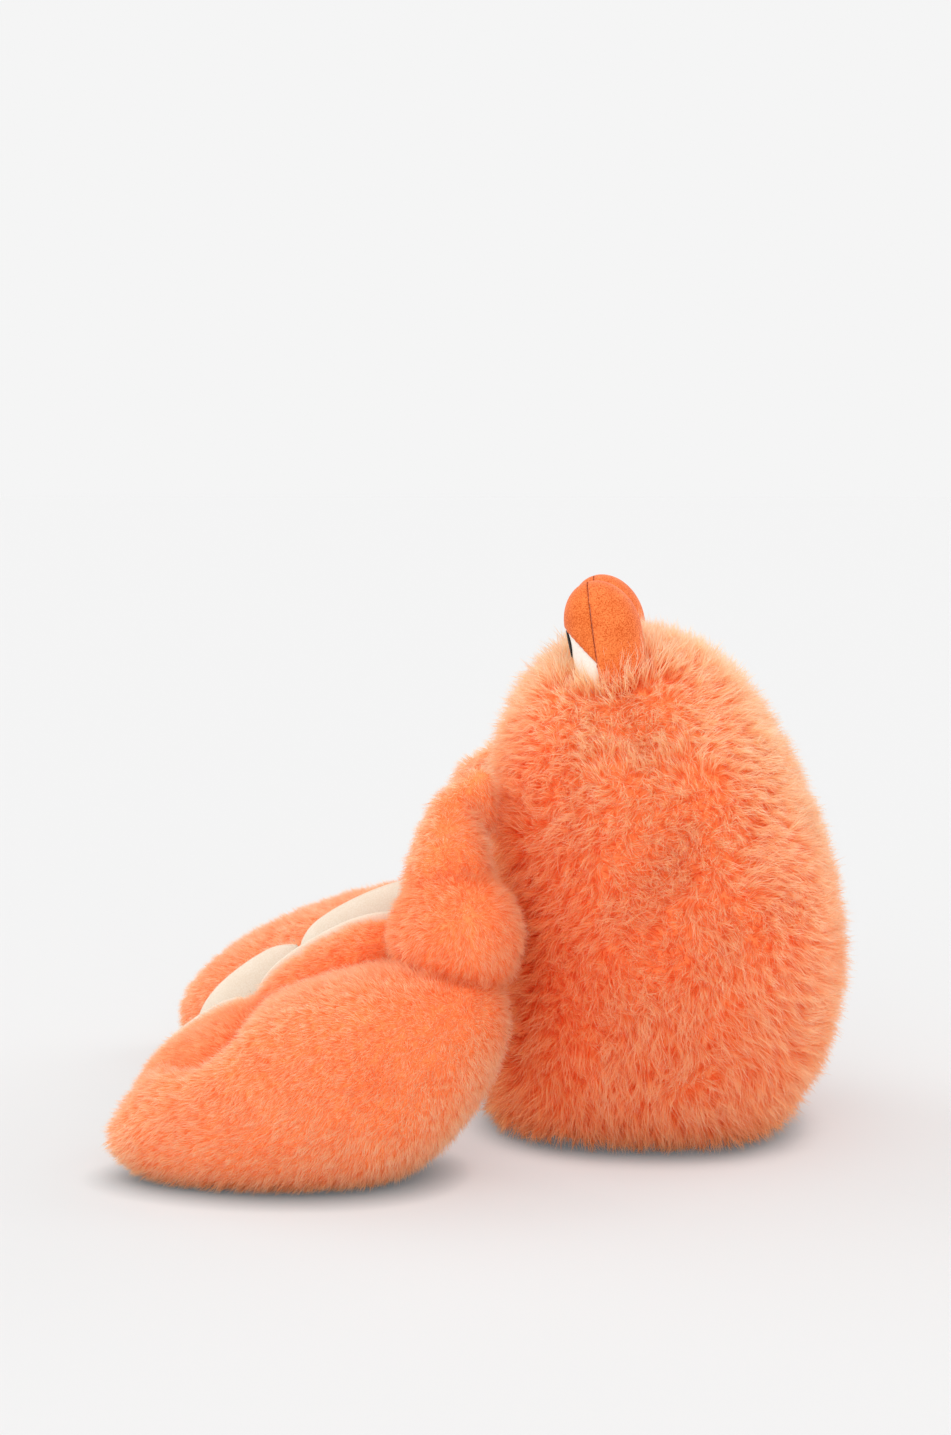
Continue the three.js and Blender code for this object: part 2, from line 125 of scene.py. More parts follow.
# %% [markdown]
# ## Camera, floor and light
# The camera stands at the crab's left side, a little above it, where the eyes, the floor line and both
# claws fall where the photograph has them. The floor is pale paper that glows a little, as on a light
# table. Most of the light comes from all round, as in a light tent, with wide soft lamps around, so
# shadows stay pale and close to where the toy touches the paper. There the paper has a painted shadow:
# its colour and glow are drawn deeper, because little light gets in between pile and floor.

# %% Camera
CAMERA_AT = Vector((1.200, 0.010, 0.348))
CAMERA_AIM = Vector((0.0, -0.105, 0.219))
PICTURE_HEIGHT = 1435
FOCAL_PIXELS = 2243
SENSOR_MM = 36

camera_data = bpy.data.cameras.new("photo_camera")
camera_data.sensor_width = SENSOR_MM
camera_data.lens = FOCAL_PIXELS * SENSOR_MM / PICTURE_HEIGHT
camera = show("photo_camera", camera_data)
camera.location = CAMERA_AT
camera.rotation_euler = (CAMERA_AIM - CAMERA_AT).to_track_quat("-Z", "Y").to_euler()
scene.camera = camera
print("lens", round(camera_data.lens, 2), "mm")

# %% Floor and light
PAPER = "#afafaf"
# Painted shadow: the paper's colour and glow where the toy is close above it.
PAPER_PAINTED_SHADOW = "#545c5f"
PAPER_GLOW = 0.85
CONTACT_REACH = 0.024
FLOOR_HALF = 40
BACKDROP = "#f5f5f5"
TENT_LIGHT = 0.68
LAMPS = {
    "top_lamp": {"at": (0.9, -0.3, 1.8), "strength": 0.7, "spread": 70},
    "near_lamp": {"at": (1.6, 0.1, 0.45), "strength": 1.3, "spread": 70},
    "back_lamp": {"at": (-0.7, 1.3, 0.7), "strength": 0.9, "spread": 45},
    "front_lamp": {"at": (-0.5, -1.3, 0.8), "strength": 0.9, "spread": 45},
}

# Matt paper: gives the eye a pale ground, with a painted shadow that darkens it only close under the toy.
paper, paper_tree, paper_shader = new_material("floor_paper", roughness=0.9, shine=0.0)
open_sky = add(paper_tree, "ShaderNodeAmbientOcclusion", {"Distance": CONTACT_REACH}, samples=8)
paper_tone = add(paper_tree, "ShaderNodeMix", {
    "Factor": result(open_sky, "AO"), "A": linear(PAPER_PAINTED_SHADOW), "B": linear(PAPER)}, data_type="RGBA")
for lit in ("Base Color", "Emission Color"):
    paper_tree.links.new(result(paper_tone), paper_shader.inputs[lit])
paper_shader.inputs["Emission Strength"].default_value = PAPER_GLOW
paper.cycles.emission_sampling = "NONE"

floor_mesh = bpy.data.meshes.new("floor")
floor_corners = [(x * FLOOR_HALF, y * FLOOR_HALF, 0) for x, y in ((-1, -1), (1, -1), (1, 1), (-1, 1))]
floor_mesh.from_pydata(floor_corners, [], [(0, 1, 2, 3)])
floor_mesh.materials.append(paper)
show("floor", floor_mesh)

for name, setting in LAMPS.items():
    lamp = bpy.data.lights.new(name, "SUN")
    lamp.energy = setting["strength"]
    lamp.angle = math.radians(setting["spread"])
    show(name, lamp).rotation_euler = (-Vector(setting["at"])).to_track_quat("-Z", "Y").to_euler()

world = bpy.data.worlds.new("light_tent")
world.use_nodes = True
scene.world = world
world_tree = world.node_tree
world_tree.nodes.clear()
ray = add(world_tree, "ShaderNodeLightPath")
seen = maths(world_tree, "MAXIMUM", result(ray, "Is Camera Ray"), result(ray, "Is Glossy Ray"))
tent = add(world_tree, "ShaderNodeBackground", {"Color": (1, 1, 1, 1), "Strength": TENT_LIGHT})
backdrop = add(world_tree, "ShaderNodeBackground", {"Color": linear(BACKDROP), "Strength": 1.0})
mixed = add(world_tree, "ShaderNodeMixShader", {0: seen, 1: result(tent), 2: result(backdrop)})
add(world_tree, "ShaderNodeOutputWorld", {"Surface": result(mixed)})
scene.view_settings.view_transform = "Standard"

# %% [markdown]
# ## Stuffed skins
# Under the pile, each stuffed piece is a tight cloth skin. The body swells and tapers from ring to ring,
# so it is lofted from rounded rings. The solids are drawn to the middle of the pile, so the skins start a
# few millimetres inside them and the pile grows out to a few millimetres beyond.


# %% Loft helpers
def rounded(count, power):
    angle = 2 * math.pi * np.arange(count) / count
    c, s = np.cos(angle), np.sin(angle)
    reach = (np.abs(c) ** power + np.abs(s) ** power) ** (-1 / power)
    return c * reach, s * reach


def lofted(rings, first, last):
    """Points and faces of a closed skin over rings of equal count, in millimetres."""
    rows, around = len(rings), len(rings[0])
    points = np.vstack([[first], np.vstack(rings), [last]])
    end = len(points) - 1
    faces = []
    for k in range(around):
        near, far = k, (k + 1) % around
        faces.append((0, 1 + far, 1 + near))
        faces.append((end, 1 + (rows - 1) * around + near, 1 + (rows - 1) * around + far))
        for row in range(rows - 1):
            low, high = 1 + row * around, 1 + (row + 1) * around
            faces.append((low + near, low + far, high + far, high + near))
    return points, faces


def piece_from(name, build):
    """A smoothly shaded object from a finished build."""
    mesh = bpy.data.meshes.new(name)
    build.to_mesh(mesh)
    build.free()
    mesh.polygons.foreach_set("use_smooth", [True] * len(mesh.polygons))
    return show(name, mesh)


def make_piece(name, parts):
    """One object from several lots of points and faces; every closed lot ends up facing outwards."""
    build = bmesh.new()
    for points, faces in parts:
        corners = [build.verts.new(p * MM) for p in np.asarray(points)]
        for face in faces:
            build.faces.new([corners[i] for i in face])
    bmesh.ops.recalc_face_normals(build, faces=build.faces)
    return piece_from(name, build)


def keep_evaluated(piece):
    """Replaces a piece's mesh by what its modifiers make of it, and removes them."""
    depsgraph = bpy.context.evaluated_depsgraph_get()
    mesh = bpy.data.meshes.new_from_object(piece.evaluated_get(depsgraph), depsgraph=depsgraph)
    mesh.name = piece.name
    old = piece.data
    piece.modifiers.clear()
    piece.data = mesh
    bpy.data.meshes.remove(old)
    return piece


def sew_up(piece, voxel_mm, smooth):
    """Joins overlapping lots into one even skin and rounds its creases."""
    remesh = piece.modifiers.new("one_skin", "REMESH")
    remesh.mode = "VOXEL"
    remesh.voxel_size = voxel_mm * MM
    remesh.use_smooth_shade = True
    ease = piece.modifiers.new("ease", "SMOOTH")
    ease.factor = 0.5
    ease.iterations = smooth
    return keep_evaluated(piece)


# %% Body skin
BODY_HEIGHT = 267
BODY_WIDEST_Z = 90
BODY_WIDTH = {"half": 106, "upper": 1.85, "lower": 2.0, "reach": 102}
BODY_DEPTH = {"half": 90, "upper": 2.4, "lower": 2.8, "reach": 115}
BODY_PLAN_POWER = 2.6
BODY_TOP_LEAN = 20
BODY_BASE_LEAN = 20
BODY_BASE_CURVE = 1.4
BODY_HEM_Z = 1.5
LONG_PILE_INSET = 7


def body_swell(z, inset, size):
    top = BODY_HEIGHT - inset
    if z >= BODY_WIDEST_Z:
        up = min(1, (z - BODY_WIDEST_Z) / (top - BODY_WIDEST_Z))
        return (1 - up ** size["upper"]) ** (1 / size["upper"])
    down = (BODY_WIDEST_Z - z) / size["reach"]
    return (1 - down ** size["lower"]) ** (1 / size["lower"])


def body_lean(z):
    if z >= BODY_WIDEST_Z:
        up = min(1, (z - BODY_WIDEST_Z) / (BODY_HEIGHT - BODY_WIDEST_Z - BODY_TOP_LEAN))
        return -BODY_TOP_LEAN * (1 - math.cos(up * math.pi)) / 2
    return -BODY_BASE_LEAN * ((BODY_WIDEST_Z - z) / BODY_WIDEST_Z) ** BODY_BASE_CURVE


def body_ring(z, inset, around):
    x, y = rounded(around, BODY_PLAN_POWER)
    wide = (BODY_WIDTH["half"] - inset) * body_swell(z, inset, BODY_WIDTH)
    deep = (BODY_DEPTH["half"] - inset) * body_swell(z, inset, BODY_DEPTH)
    return np.stack([x * wide, body_lean(z) + y * deep, np.full(around, z)], 1)


def body_loft(inset, low, around, rows):
    top = BODY_HEIGHT - inset
    heights = low + (top - low) * np.sin(np.arange(rows) / rows * math.pi / 2)
    rings = [body_ring(z, inset, around) for z in heights]
    return lofted(rings, [0, body_lean(low), low], [0, body_lean(top), top])


body_cloth = make_piece("body_cloth", [body_loft(LONG_PILE_INSET, BODY_HEM_Z, around=96, rows=56)])
print("body skin faces", len(body_cloth.data.polygons))

# %% [markdown]
# An arm is a pod that hangs from a short root at the body's front, and it ends on a ball of its own, like
# a bead on a string. The claw is one big lobe that is fullest near the arm and tapers to a blunt tip. The
# near claw has a hollow pressed into its top behind the front tooth. Parts that overlap are joined by a
# voxel remesh, which also leaves an even skin for the pile to grow on.

# %% Arm and claw skins
SIDES = (("left", 1), ("right", -1))
SHOULDER = np.array([54.117, -97.454, 172.545])
SHOULDER_RADIUS = 15
ARM_GATHER = np.array([57.0, -97.0, 192.0])
GATHER_RADIUS = 6
ARM_NECK = np.array([62.0, -111.0, 177.0])
ARM_TOP_RADIUS = 16.5
ARM_END_RADIUS = 22
ARM_SWELL = 5
ARM_FORWARD = np.array([0.0, -5.0, 0.0])
ELBOW = np.array([94.0, -106.0, 118.0])
FOREARM_RADIUS = 30
SHORT_PILE_INSET = 4
ROOT_TUCK = 3
NECK_TUCK = 4
BEAD_FULLER = 1


def ball(centre, radius, across=40, up=24):
    angle = math.pi * np.arange(1, up) / up
    x, y = rounded(across, 2)
    rings = [centre + radius * np.stack([math.sin(a) * x, math.sin(a) * y, np.full(across, -math.cos(a))], 1)
             for a in angle]
    return lofted(rings, centre - [0, 0, radius], centre + [0, 0, radius])


def pod(start, end, start_radius, end_radius, swell, across=40, rows=20):
    way = end - start
    reach = np.linalg.norm(way)
    way = way / reach
    side = np.cross(way, [0, 1, 0])
    side /= np.linalg.norm(side)
    front = np.cross(way, side)
    x, y = rounded(across, 2)
    ring = x[:, None] * side + y[:, None] * front
    rings = []
    for row in range(1, rows + 1):
        angle = row / rows * math.pi / 2
        rings.append(start - way * start_radius * math.cos(angle) + ring * start_radius * math.sin(angle))
    for row in range(1, rows + 1):
        t = row / rows
        radius = start_radius + (end_radius - start_radius) * t + swell * math.sin(math.pi * t)
        rings.append(start + way * reach * t + ring * radius)
    return lofted(rings, start - way * start_radius, end)


def mirrored(part, side):
    points, faces = part
    return np.asarray(points) * [side, 1, 1], faces


CLAWS = {"left": {"length": 201, "tip": 0.64}, "right": {"length": 222, "tip": 0.5}}
CLAW_REAR_Y = -78
CLAW_HALF_HEIGHT = 56
CLAW_HALF_WIDTH = 48
CLAW_FULLEST_AT = 0.36
CLAW_TAPER = 1.75
CLAW_SECTION_POWER = 2.4
CLAW_TIP_Z = 17
CLAW_RISE = 47
CLAW_REAR_LIFT = 17
CLAW_REAR_PART = 0.3
CLAW_SLOPE = 0.75
CLAW_X = 101
CLAW_SPLAY = 28
DENT_CENTRE = np.array([104.0, -236.0, 92.0])
DENT_HALF = np.array([80.0, 40.0, 42.0])


def claw_swell(claw, along):
    if along <= CLAW_FULLEST_AT:
        return math.sqrt(max(0, 1 - ((CLAW_FULLEST_AT - along) / CLAW_FULLEST_AT) ** 2))
    ahead = (along - CLAW_FULLEST_AT) / (1 - CLAW_FULLEST_AT)
    return (1 - ahead ** CLAW_TAPER) ** claw["tip"]


def claw_middle(claw, along):
    lift = max(0, 1 - along / CLAW_REAR_PART) ** 2
    z = CLAW_TIP_Z + CLAW_RISE * (1 - along) ** CLAW_SLOPE + CLAW_REAR_LIFT * lift
    x = CLAW_X + CLAW_SPLAY * (1 - (1 - along) ** 2)
    return np.array([x, CLAW_REAR_Y - claw["length"] * along, z])


def claw_loft(claw, inset, around=64, rows=64):
    x, z = rounded(around, CLAW_SECTION_POWER)
    shrink = inset / claw["length"]
    rings = []
    for row in range(1, rows):
        part = (1 - math.cos(math.pi * row / rows)) / 2
        middle = claw_middle(claw, shrink + (1 - 2 * shrink) * part)
        swell = claw_swell(claw, part)
        wide, high = (CLAW_HALF_WIDTH - inset) * swell, (CLAW_HALF_HEIGHT - inset) * swell
        ring = middle + np.stack([x * wide, np.zeros(around), z * high], 1)
        ring[:, 2] = np.maximum(ring[:, 2], inset)
        rings.append(ring)
    return lofted(rings, claw_middle(claw, shrink), claw_middle(claw, 1 - shrink))


def press_dent(part):
    """Pushes the top of the lobe down into the hollow behind the front tooth."""
    points, faces = part
    run = (points - DENT_CENTRE) / DENT_HALF
    inside = np.clip(1 - run[:, 0] ** 2 - run[:, 1] ** 2, 0, 1)
    bottom = DENT_CENTRE[2] - DENT_HALF[2] * np.sqrt(inside)
    pressed = (inside > 0) & (points[:, 2] > bottom)
    points[pressed, 2] = bottom[pressed]
    return points, faces


skins = {"body": body_cloth}
inset = SHORT_PILE_INSET
root_radius, top_radius = SHOULDER_RADIUS - inset - ROOT_TUCK, ARM_TOP_RADIUS - inset - ROOT_TUCK
neck_radius, end_radius = ARM_TOP_RADIUS - inset - NECK_TUCK, ARM_END_RADIUS - inset + BEAD_FULLER
upper_arm = [pod(SHOULDER, ARM_NECK, root_radius, neck_radius, 0),
             pod(SHOULDER, ARM_GATHER, root_radius, GATHER_RADIUS, 0),
             pod(ARM_GATHER, ARM_NECK, GATHER_RADIUS, neck_radius, 0),
             pod(ARM_NECK, ELBOW + ARM_FORWARD, top_radius, end_radius, ARM_SWELL)]
for side_name, side in SIDES:
    arm = make_piece(side_name + "_upper_arm_cloth", [mirrored(p, side) for p in upper_arm])
    skins[side_name + "_upper_arm"] = sew_up(arm, voxel_mm=2.5, smooth=10)
    bead = mirrored(ball(ELBOW, FOREARM_RADIUS + BEAD_FULLER), side)
    bead = make_piece(side_name + "_forearm_cloth", [bead])
    skins[side_name + "_forearm"] = sew_up(bead, voxel_mm=2.5, smooth=2)
    lobe = claw_loft(CLAWS[side_name], inset)
    if side_name == "left":
        lobe = press_dent(lobe)
    claw_cloth = make_piece(side_name + "_claw_cloth", [mirrored(lobe, side)])
    skins[side_name + "_claw"] = sew_up(claw_cloth, voxel_mm=3, smooth=6)
print({name: len(skin.data.polygons) for name, skin in skins.items()})

# %% [markdown]
# The inner finger is two pillows that meet at a notch, with a seam round the middle. The furry back is
# the outer half of both, so it is lofted from the seam outwards, and the two cream teeth later take the
# inner half.

# %% Finger backs
TOOTH_SEAM_X = 66
TOOTH_NOTCH = np.array([-216.0, 79.0])
TOOTH_NOTCH_SLOPE = 34
TOOTH_POWER = 2.5
TOOTH_ROUNDING = 0.8
FINGER_INSET = 2.5
TEETH = {
    "front": {"y": -231, "z": 42, "long": 46, "high": 27, "face": 14, "back": 32, "slope": 36.5},
    "rear": {"y": -167, "z": 83, "long": 53, "high": 30, "face": 15, "back": 28, "slope": 31},
}


def tooth_outline(tooth, grow, count):
    """The seam of a tooth as points in the X plane, larger or smaller by grow millimetres.
    A crown below 1 lowers its upper half towards the back."""
    u, v = rounded(count, TOOTH_POWER)
    turn = math.radians(tooth["slope"])
    run, rise = u * (tooth["long"] + grow), v * (tooth["high"] + grow)
    lower = (1 - tooth.get("crown", 1.0)) * (u + 1) / 2
    rise = np.where(rise > 0, rise * (1 - np.clip(lower, 0, 1)), rise)
    y = run * math.cos(turn) - rise * math.sin(turn)
    z = run * math.sin(turn) + rise * math.cos(turn)
    return y, z


def tooth_back(tooth, inset, count=48, rows=16):
    y, z = tooth_outline(tooth, -inset, count)
    rings = []
    for row in range(rows):
        angle = math.pi / 2 * row / rows
        far = math.cos(angle) ** TOOTH_ROUNDING
        x = TOOTH_SEAM_X + math.sin(angle) * (tooth["back"] - inset)
        rings.append(np.stack([np.full(count, x), tooth["y"] + y * far, tooth["z"] + z * far], 1))
    middle = [tooth["y"], tooth["z"]]
    first = [TOOTH_SEAM_X, *middle]
    return lofted(rings, first, [TOOTH_SEAM_X + tooth["back"] - inset, *middle])


def skin_tree(piece):
    mesh = piece.data
    return BVHTree.FromPolygons([v.co for v in mesh.vertices], [p.vertices for p in mesh.polygons])


def cut_away(piece, other):
    """Takes another piece's space out of a skin."""
    cut = piece.modifiers.new("cut_away", "BOOLEAN")
    cut.operation = "DIFFERENCE"
    cut.object = other
    cut.solver = "EXACT"
    return keep_evaluated(piece)


FINGER_TEETH = {
    "left": {"front": dict(TEETH["front"], back=84), "rear": TEETH["rear"]},
    "right": {"front": TEETH["front"], "rear": dict(TEETH["rear"], crown=0.7)},
}
for side_name, side in SIDES:
    backs = [mirrored(tooth_back(tooth, FINGER_INSET), side) for tooth in FINGER_TEETH[side_name].values()]
    finger = sew_up(make_piece(side_name + "_finger_cloth", backs), voxel_mm=2.5, smooth=3)
    trimmed = cut_away(finger, skins[side_name + "_claw"])
    skins[side_name + "_finger"] = sew_up(trimmed, voxel_mm=2, smooth=2)
print("finger backs", len(skins["left_finger"].data.polygons), "faces")

# %% [markdown]
# ## Which way the pile lies
# Pile cloth has a nap: every strand leans the way it was brushed. Each skin gets that direction as an
# attribute, stirred by smooth noise so that the coat swirls in patches as a handled toy does. A second
# attribute says how much pile grows, which is none where a skin lies inside another piece and less along
# a trimmed seam. A third paints light and shade into the pile's colour: painted shade near other pieces,
# round the eyes' roots, low on the body and near the floor, and painted light high on the body, at the
# top of each arm and along the front tooth's seam. Round the eyes the cloth is pushed up into a low
# collar, most at the outer side, so that its pile stands against them.

# %% Comb directions
EYE_CENTRE = np.array([37.0, -35.0, 271.0])
EYE_HALF = np.array([18.0, 20.0, 24.0])
EYE_ROOT_DROP = 14
EYE_NEAR = 34
EYE_BARE = 10
EYE_COLLAR = 23
INNER_COLLAR = 0.15
OUTWARDS, BACKWARDS = 0.85, 0.5
NAP = {
    "body": {"down": (0.0, 0.0, -0.8), "swirl": 1.1, "patch": 34},
    "upper_arm": {"down": (0.2, -0.1, -1.0), "swirl": 0.45, "patch": 22},
    "forearm": {"down": (0.1, -0.3, -1.0), "swirl": 0.6, "patch": 22},
    "claw": {"down": (0.1, -1.0, -0.55), "swirl": 0.35, "patch": 30},
    "finger": {"down": (0.3, -0.9, -0.7), "swirl": 0.3, "patch": 22},
}
SWIRL_APART = (1, 2.3, 5.1)
SWIRL_SEED = 31

# Without a seed this noise starts from the clock, and the swirls differ from run to run.
noise.seed_set(SWIRL_SEED)


def kind_of(name):
    return name.replace("left_", "").replace("right_", "")


def swirl_at(point, patch_mm, number):
    """Smooth noise in patches of this size. Each skin's number moves it to a place of its own."""
    shift = Vector([number * step for step in SWIRL_APART])
    return noise.noise_vector(Vector(point) / (patch_mm * MM) + shift)


def eye_root(x):
    """Where the eye on this side goes into the body."""
    return Vector((math.copysign(EYE_CENTRE[0], x), EYE_CENTRE[1], EYE_CENTRE[2] - EYE_ROOT_DROP)) * MM


def near_eye(point):
    """1 at the root of the nearer eye, falling to 0 a little way outside it."""
    return max(0, 1 - (point - eye_root(point.x)).length / (EYE_NEAR * MM))


def outer_side(point):
    """1 on the outer and rear side of an eye, and 0 on the inner and front side."""
    away = (point - eye_root(point.x)).normalized()
    return max(0, OUTWARDS * math.copysign(1, point.x) * away.x + BACKWARDS * away.y)


for vertex in body_cloth.data.vertices:
    close = near_eye(vertex.co)
    collar = INNER_COLLAR + (1 - INNER_COLLAR) * outer_side(vertex.co)
    vertex.co.z += EYE_COLLAR * MM * close * (2 - close) * collar
body_cloth.data.update()
trees = {name: skin_tree(skin) for name, skin in skins.items()}

# %% [markdown]
# Before the coat is combed, three questions are asked at each point of a skin: does it lie inside another
# piece, is it pressed against one, and how much painted light or painted shade does its pile get there?
# Distances below are in millimetres.

# %% Cover and shade
BURIED_DEPTH = 4
PRESSED_GAP = 1.2
PRESSED_PILE = 0.5
# Painted shade: the pile is drawn deeper within this reach of another piece, in creases and between parts.
SHADE_REACH = {"body": 60, "finger": 28, "claw": 22, "forearm": 22, "upper_arm": 14}
SHADE_DEPTH = {"body": 0.7, "finger": 0.9, "claw": 0.3, "forearm": 0.6, "upper_arm": 0.4}
# Painted light and shade: the body's pile drawn paler above its middle and deeper below it.
BODY_PAINTED_LIGHT_AND_SHADE = {"middle": 130, "depth": 0.35}
# Painted shade: the pile drawn deeper round the root of each eye.
EYE_SHADE = 0.15
# Painted highlight: the pile drawn paler at the top of each upper arm.
ARM_TOP_PAINTED_HIGHLIGHT = {"from": 180, "over": 14, "depth": 0.2}
# Painted light: the finger's pile drawn paler along the front tooth's seam, where light catches its rim.
FRONT_SEAM_PAINTED_LIGHT = {"over": 16, "depth": 1.2}
# Painted shade: the pile of body and claws drawn deeper close to the floor.
FLOOR_PAINTED_SHADES = ((30, 0.25), (12, 0.4))


def height_over(point, name):
    """How far a point stands out of a skin, negative inside it."""
    place, normal, _, _ = trees[name].find_nearest(point)
    return (point - place).dot(normal) / MM


def buried(point, own):
    """True where one skin lies deep in another; a claw keeps its pile under the finger that opens."""
    return any(height_over(point, name) < -BURIED_DEPTH for name in trees
               if name != own and (kind_of(own), kind_of(name)) != ("claw", "finger"))


def pressed(point, own):
    """True where a finger and its claw lie on each other, so that both have only short, flattened pile."""
    facing = {"finger": "claw", "claw": "finger"}.get(kind_of(own))
    return facing is not None and height_over(point, own.split("_")[0] + "_" + facing) < PRESSED_GAP


def shade_at(point, own):
    """Painted shade near other pieces, eye roots and the floor; painted light up the body, arm tops, front
    seam.
    """
    kind, height = kind_of(own), point.z / MM
    others = [tree for name, tree in trees.items() if name != own and {kind, kind_of(name)} != {"claw"}
              and not (kind == "claw" and kind_of(name) == "finger")]
    gap = min((point - tree.find_nearest(point)[0]).length for tree in others) / MM
    shade = -SHADE_DEPTH[kind] * max(0, 1 - gap / SHADE_REACH[kind])
    if kind == "body":
        shade += BODY_PAINTED_LIGHT_AND_SHADE["depth"] * (height - BODY_PAINTED_LIGHT_AND_SHADE["middle"]) / BODY_PAINTED_LIGHT_AND_SHADE["middle"]
        shade -= EYE_SHADE * near_eye(point)
    if kind == "upper_arm":
        shade += ARM_TOP_PAINTED_HIGHLIGHT["depth"] * min(1, max(0, height - ARM_TOP_PAINTED_HIGHLIGHT["from"]) / ARM_TOP_PAINTED_HIGHLIGHT["over"])
    if kind == "finger" and point.y < TOOTH_NOTCH[0] * MM:
        from_seam = abs(point.x) / MM - TOOTH_SEAM_X
        shade += FRONT_SEAM_PAINTED_LIGHT["depth"] * max(0, 1 - from_seam / FRONT_SEAM_PAINTED_LIGHT["over"])
    if kind in ("body", "claw"):
        shade -= sum(depth * max(0, 1 - height / reach) for reach, depth in FLOOR_PAINTED_SHADES)
    return shade


# %% Comb each skin
FLOOR_GAP = 1.6
RISING = {"up": 1.3, "strength": 1.6, "fade": 3}
EYE_PILE = {"inner": 0.2, "outer": 0.35, "fade": 1.8}
SEAM_BARE = 2.4
SEAM_PILE = {"least": 0.35, "per_mm": 0.08}

for index, (name, skin) in enumerate(skins.items()):
    nap = NAP[kind_of(name)]
    mirror = -1 if name.startswith("right") else 1
    down = Vector((nap["down"][0] * mirror, nap["down"][1], nap["down"][2]))
    comb, cover, shades = [], [], []
    for vertex in skin.data.vertices:
        stirred = down + nap["swirl"] * 2 * swirl_at(vertex.co, nap["patch"], index + 1)
        along = stirred - vertex.normal * stirred.dot(vertex.normal)
        along = along / max(1, along.length)
        hidden = buried(vertex.co, name) or vertex.co.z < FLOOR_GAP * MM
        grown = 1.0
        if name == "body":
            inwards = eye_root(vertex.co.x) - vertex.co
            near = near_eye(vertex.co)
            rising = (inwards.normalized() + Vector((0, 0, RISING["up"]))).normalized()
            along = along.lerp(rising * RISING["strength"], min(1, RISING["fade"] * near))
            hidden = hidden or inwards.length < EYE_BARE * MM
            most = EYE_PILE["inner"] + EYE_PILE["outer"] * outer_side(vertex.co)
            grown = 1 + min(most, EYE_PILE["fade"] * near)
        comb.extend(along)
        if kind_of(name) == "finger":
            from_seam = abs(vertex.co.x) / MM - TOOTH_SEAM_X
            hidden = hidden or from_seam < SEAM_BARE
            grown = min(1, SEAM_PILE["least"] + SEAM_PILE["per_mm"] * from_seam)
        if pressed(vertex.co, name):
            grown = min(grown, PRESSED_PILE)
        cover.append(0.0 if hidden else grown)
        # Painted light and shade for the pile at this point.
        shades.append(shade_at(vertex.co, name))
    skin.data.attributes.new("comb", "FLOAT_VECTOR", "POINT").data.foreach_set("vector", comb)
    skin.data.attributes.new("cover", "FLOAT", "POINT").data.foreach_set("value", cover)
    skin.data.attributes.new("shade", "FLOAT", "POINT").data.foreach_set("value", shades)
    print(name, "covered", round(float(np.mean(cover)), 2))

# %% [markdown]
# ## Strands and tufts
# Pile is far too fine to place strand by strand, so a handful of strands is made as one small tuft, in a
# few versions. Each strand is a flat blade of a few faces that narrows to its tip. Its texture
# coordinates carry the colour: one runs across the shades of the dye, and the other from root to tip.

# %% Tuft meshes
PILE = {
    "long": {"length": 14.5, "width": 0.42, "spread": 1.9, "strands": 10, "steps": 3,
             "bend": 3.2, "gather": 0.55},
    "short": {"length": 6.8, "width": 0.33, "spread": 1.7, "strands": 12, "steps": 2,
              "bend": 1.5, "gather": 1.0},
}
TUFT_VERSIONS = 6
TUFT_SEED = 11
STRAND_LENGTHS = (0.72, 1.12)
STRAND_TONES = (0.37, 0.77)
STRAND_STRAY = 0.13
STRAND_SLIM = 0.55
ROOT_DEPTH = 0.6
BEND = {"at": 0.55, "stray": 0.15}
TONE_EDGE = 0.01
COLOUR_MAP = "OFBake"


def make_tuft(name, pile, rng):
    points, faces, shades = [], [], []
    for _ in range(pile["strands"]):
        turn, out = rng.uniform(0, 2 * math.pi), pile["spread"] * math.sqrt(rng.uniform(0, 1))
        root = np.array([out * math.cos(turn), out * math.sin(turn), -ROOT_DEPTH])
        long = pile["length"] * rng.uniform(*STRAND_LENGTHS)
        stray = rng.normal(0, STRAND_STRAY, 2) * pile["length"]
        tip = np.array([*(root[:2] * pile["gather"] + [pile["bend"], 0] + stray), long])
        middle = np.array([*(root[:2] + BEND["stray"] * stray), long * BEND["at"]])
        facing = rng.uniform(0, math.pi)
        across = np.array([math.cos(facing), math.sin(facing), 0]) * pile["width"] / 2
        tone = rng.uniform(*STRAND_TONES)
        start = len(points)
        for step in range(pile["steps"]):
            t = step / pile["steps"]
            spot = root * (1 - t) ** 2 + 2 * middle * t * (1 - t) + tip * t ** 2
            slim = 1 - STRAND_SLIM * t
            points.extend([spot - across * slim, spot + across * slim])
            shades.extend([(tone - TONE_EDGE, t), (tone + TONE_EDGE, t)])
        points.append(tip)
        shades.append((tone, 1.0))
        for step in range(pile["steps"] - 1):
            low = start + 2 * step
            faces.append((low, low + 1, low + 3, low + 2))
        last = start + 2 * pile["steps"]
        faces.append((last - 2, last - 1, last))
    mesh = bpy.data.meshes.new(name)
    mesh.from_pydata((np.array(points) * MM).tolist(), [], faces)
    layer = mesh.uv_layers.new(name=COLOUR_MAP)
    for loop in mesh.loops:
        layer.data[loop.index].uv = shades[loop.vertex_index]
    return bpy.data.objects.new(name, mesh)


tufts = {}
for index, (kind, pile) in enumerate(PILE.items()):
    tufts[kind] = bpy.data.collections.new(kind + "_tufts")
    draw = np.random.default_rng(TUFT_SEED + index)
    for version in range(TUFT_VERSIONS):
        tufts[kind].objects.link(make_tuft(f"{kind}_tuft_{version}", pile, draw))

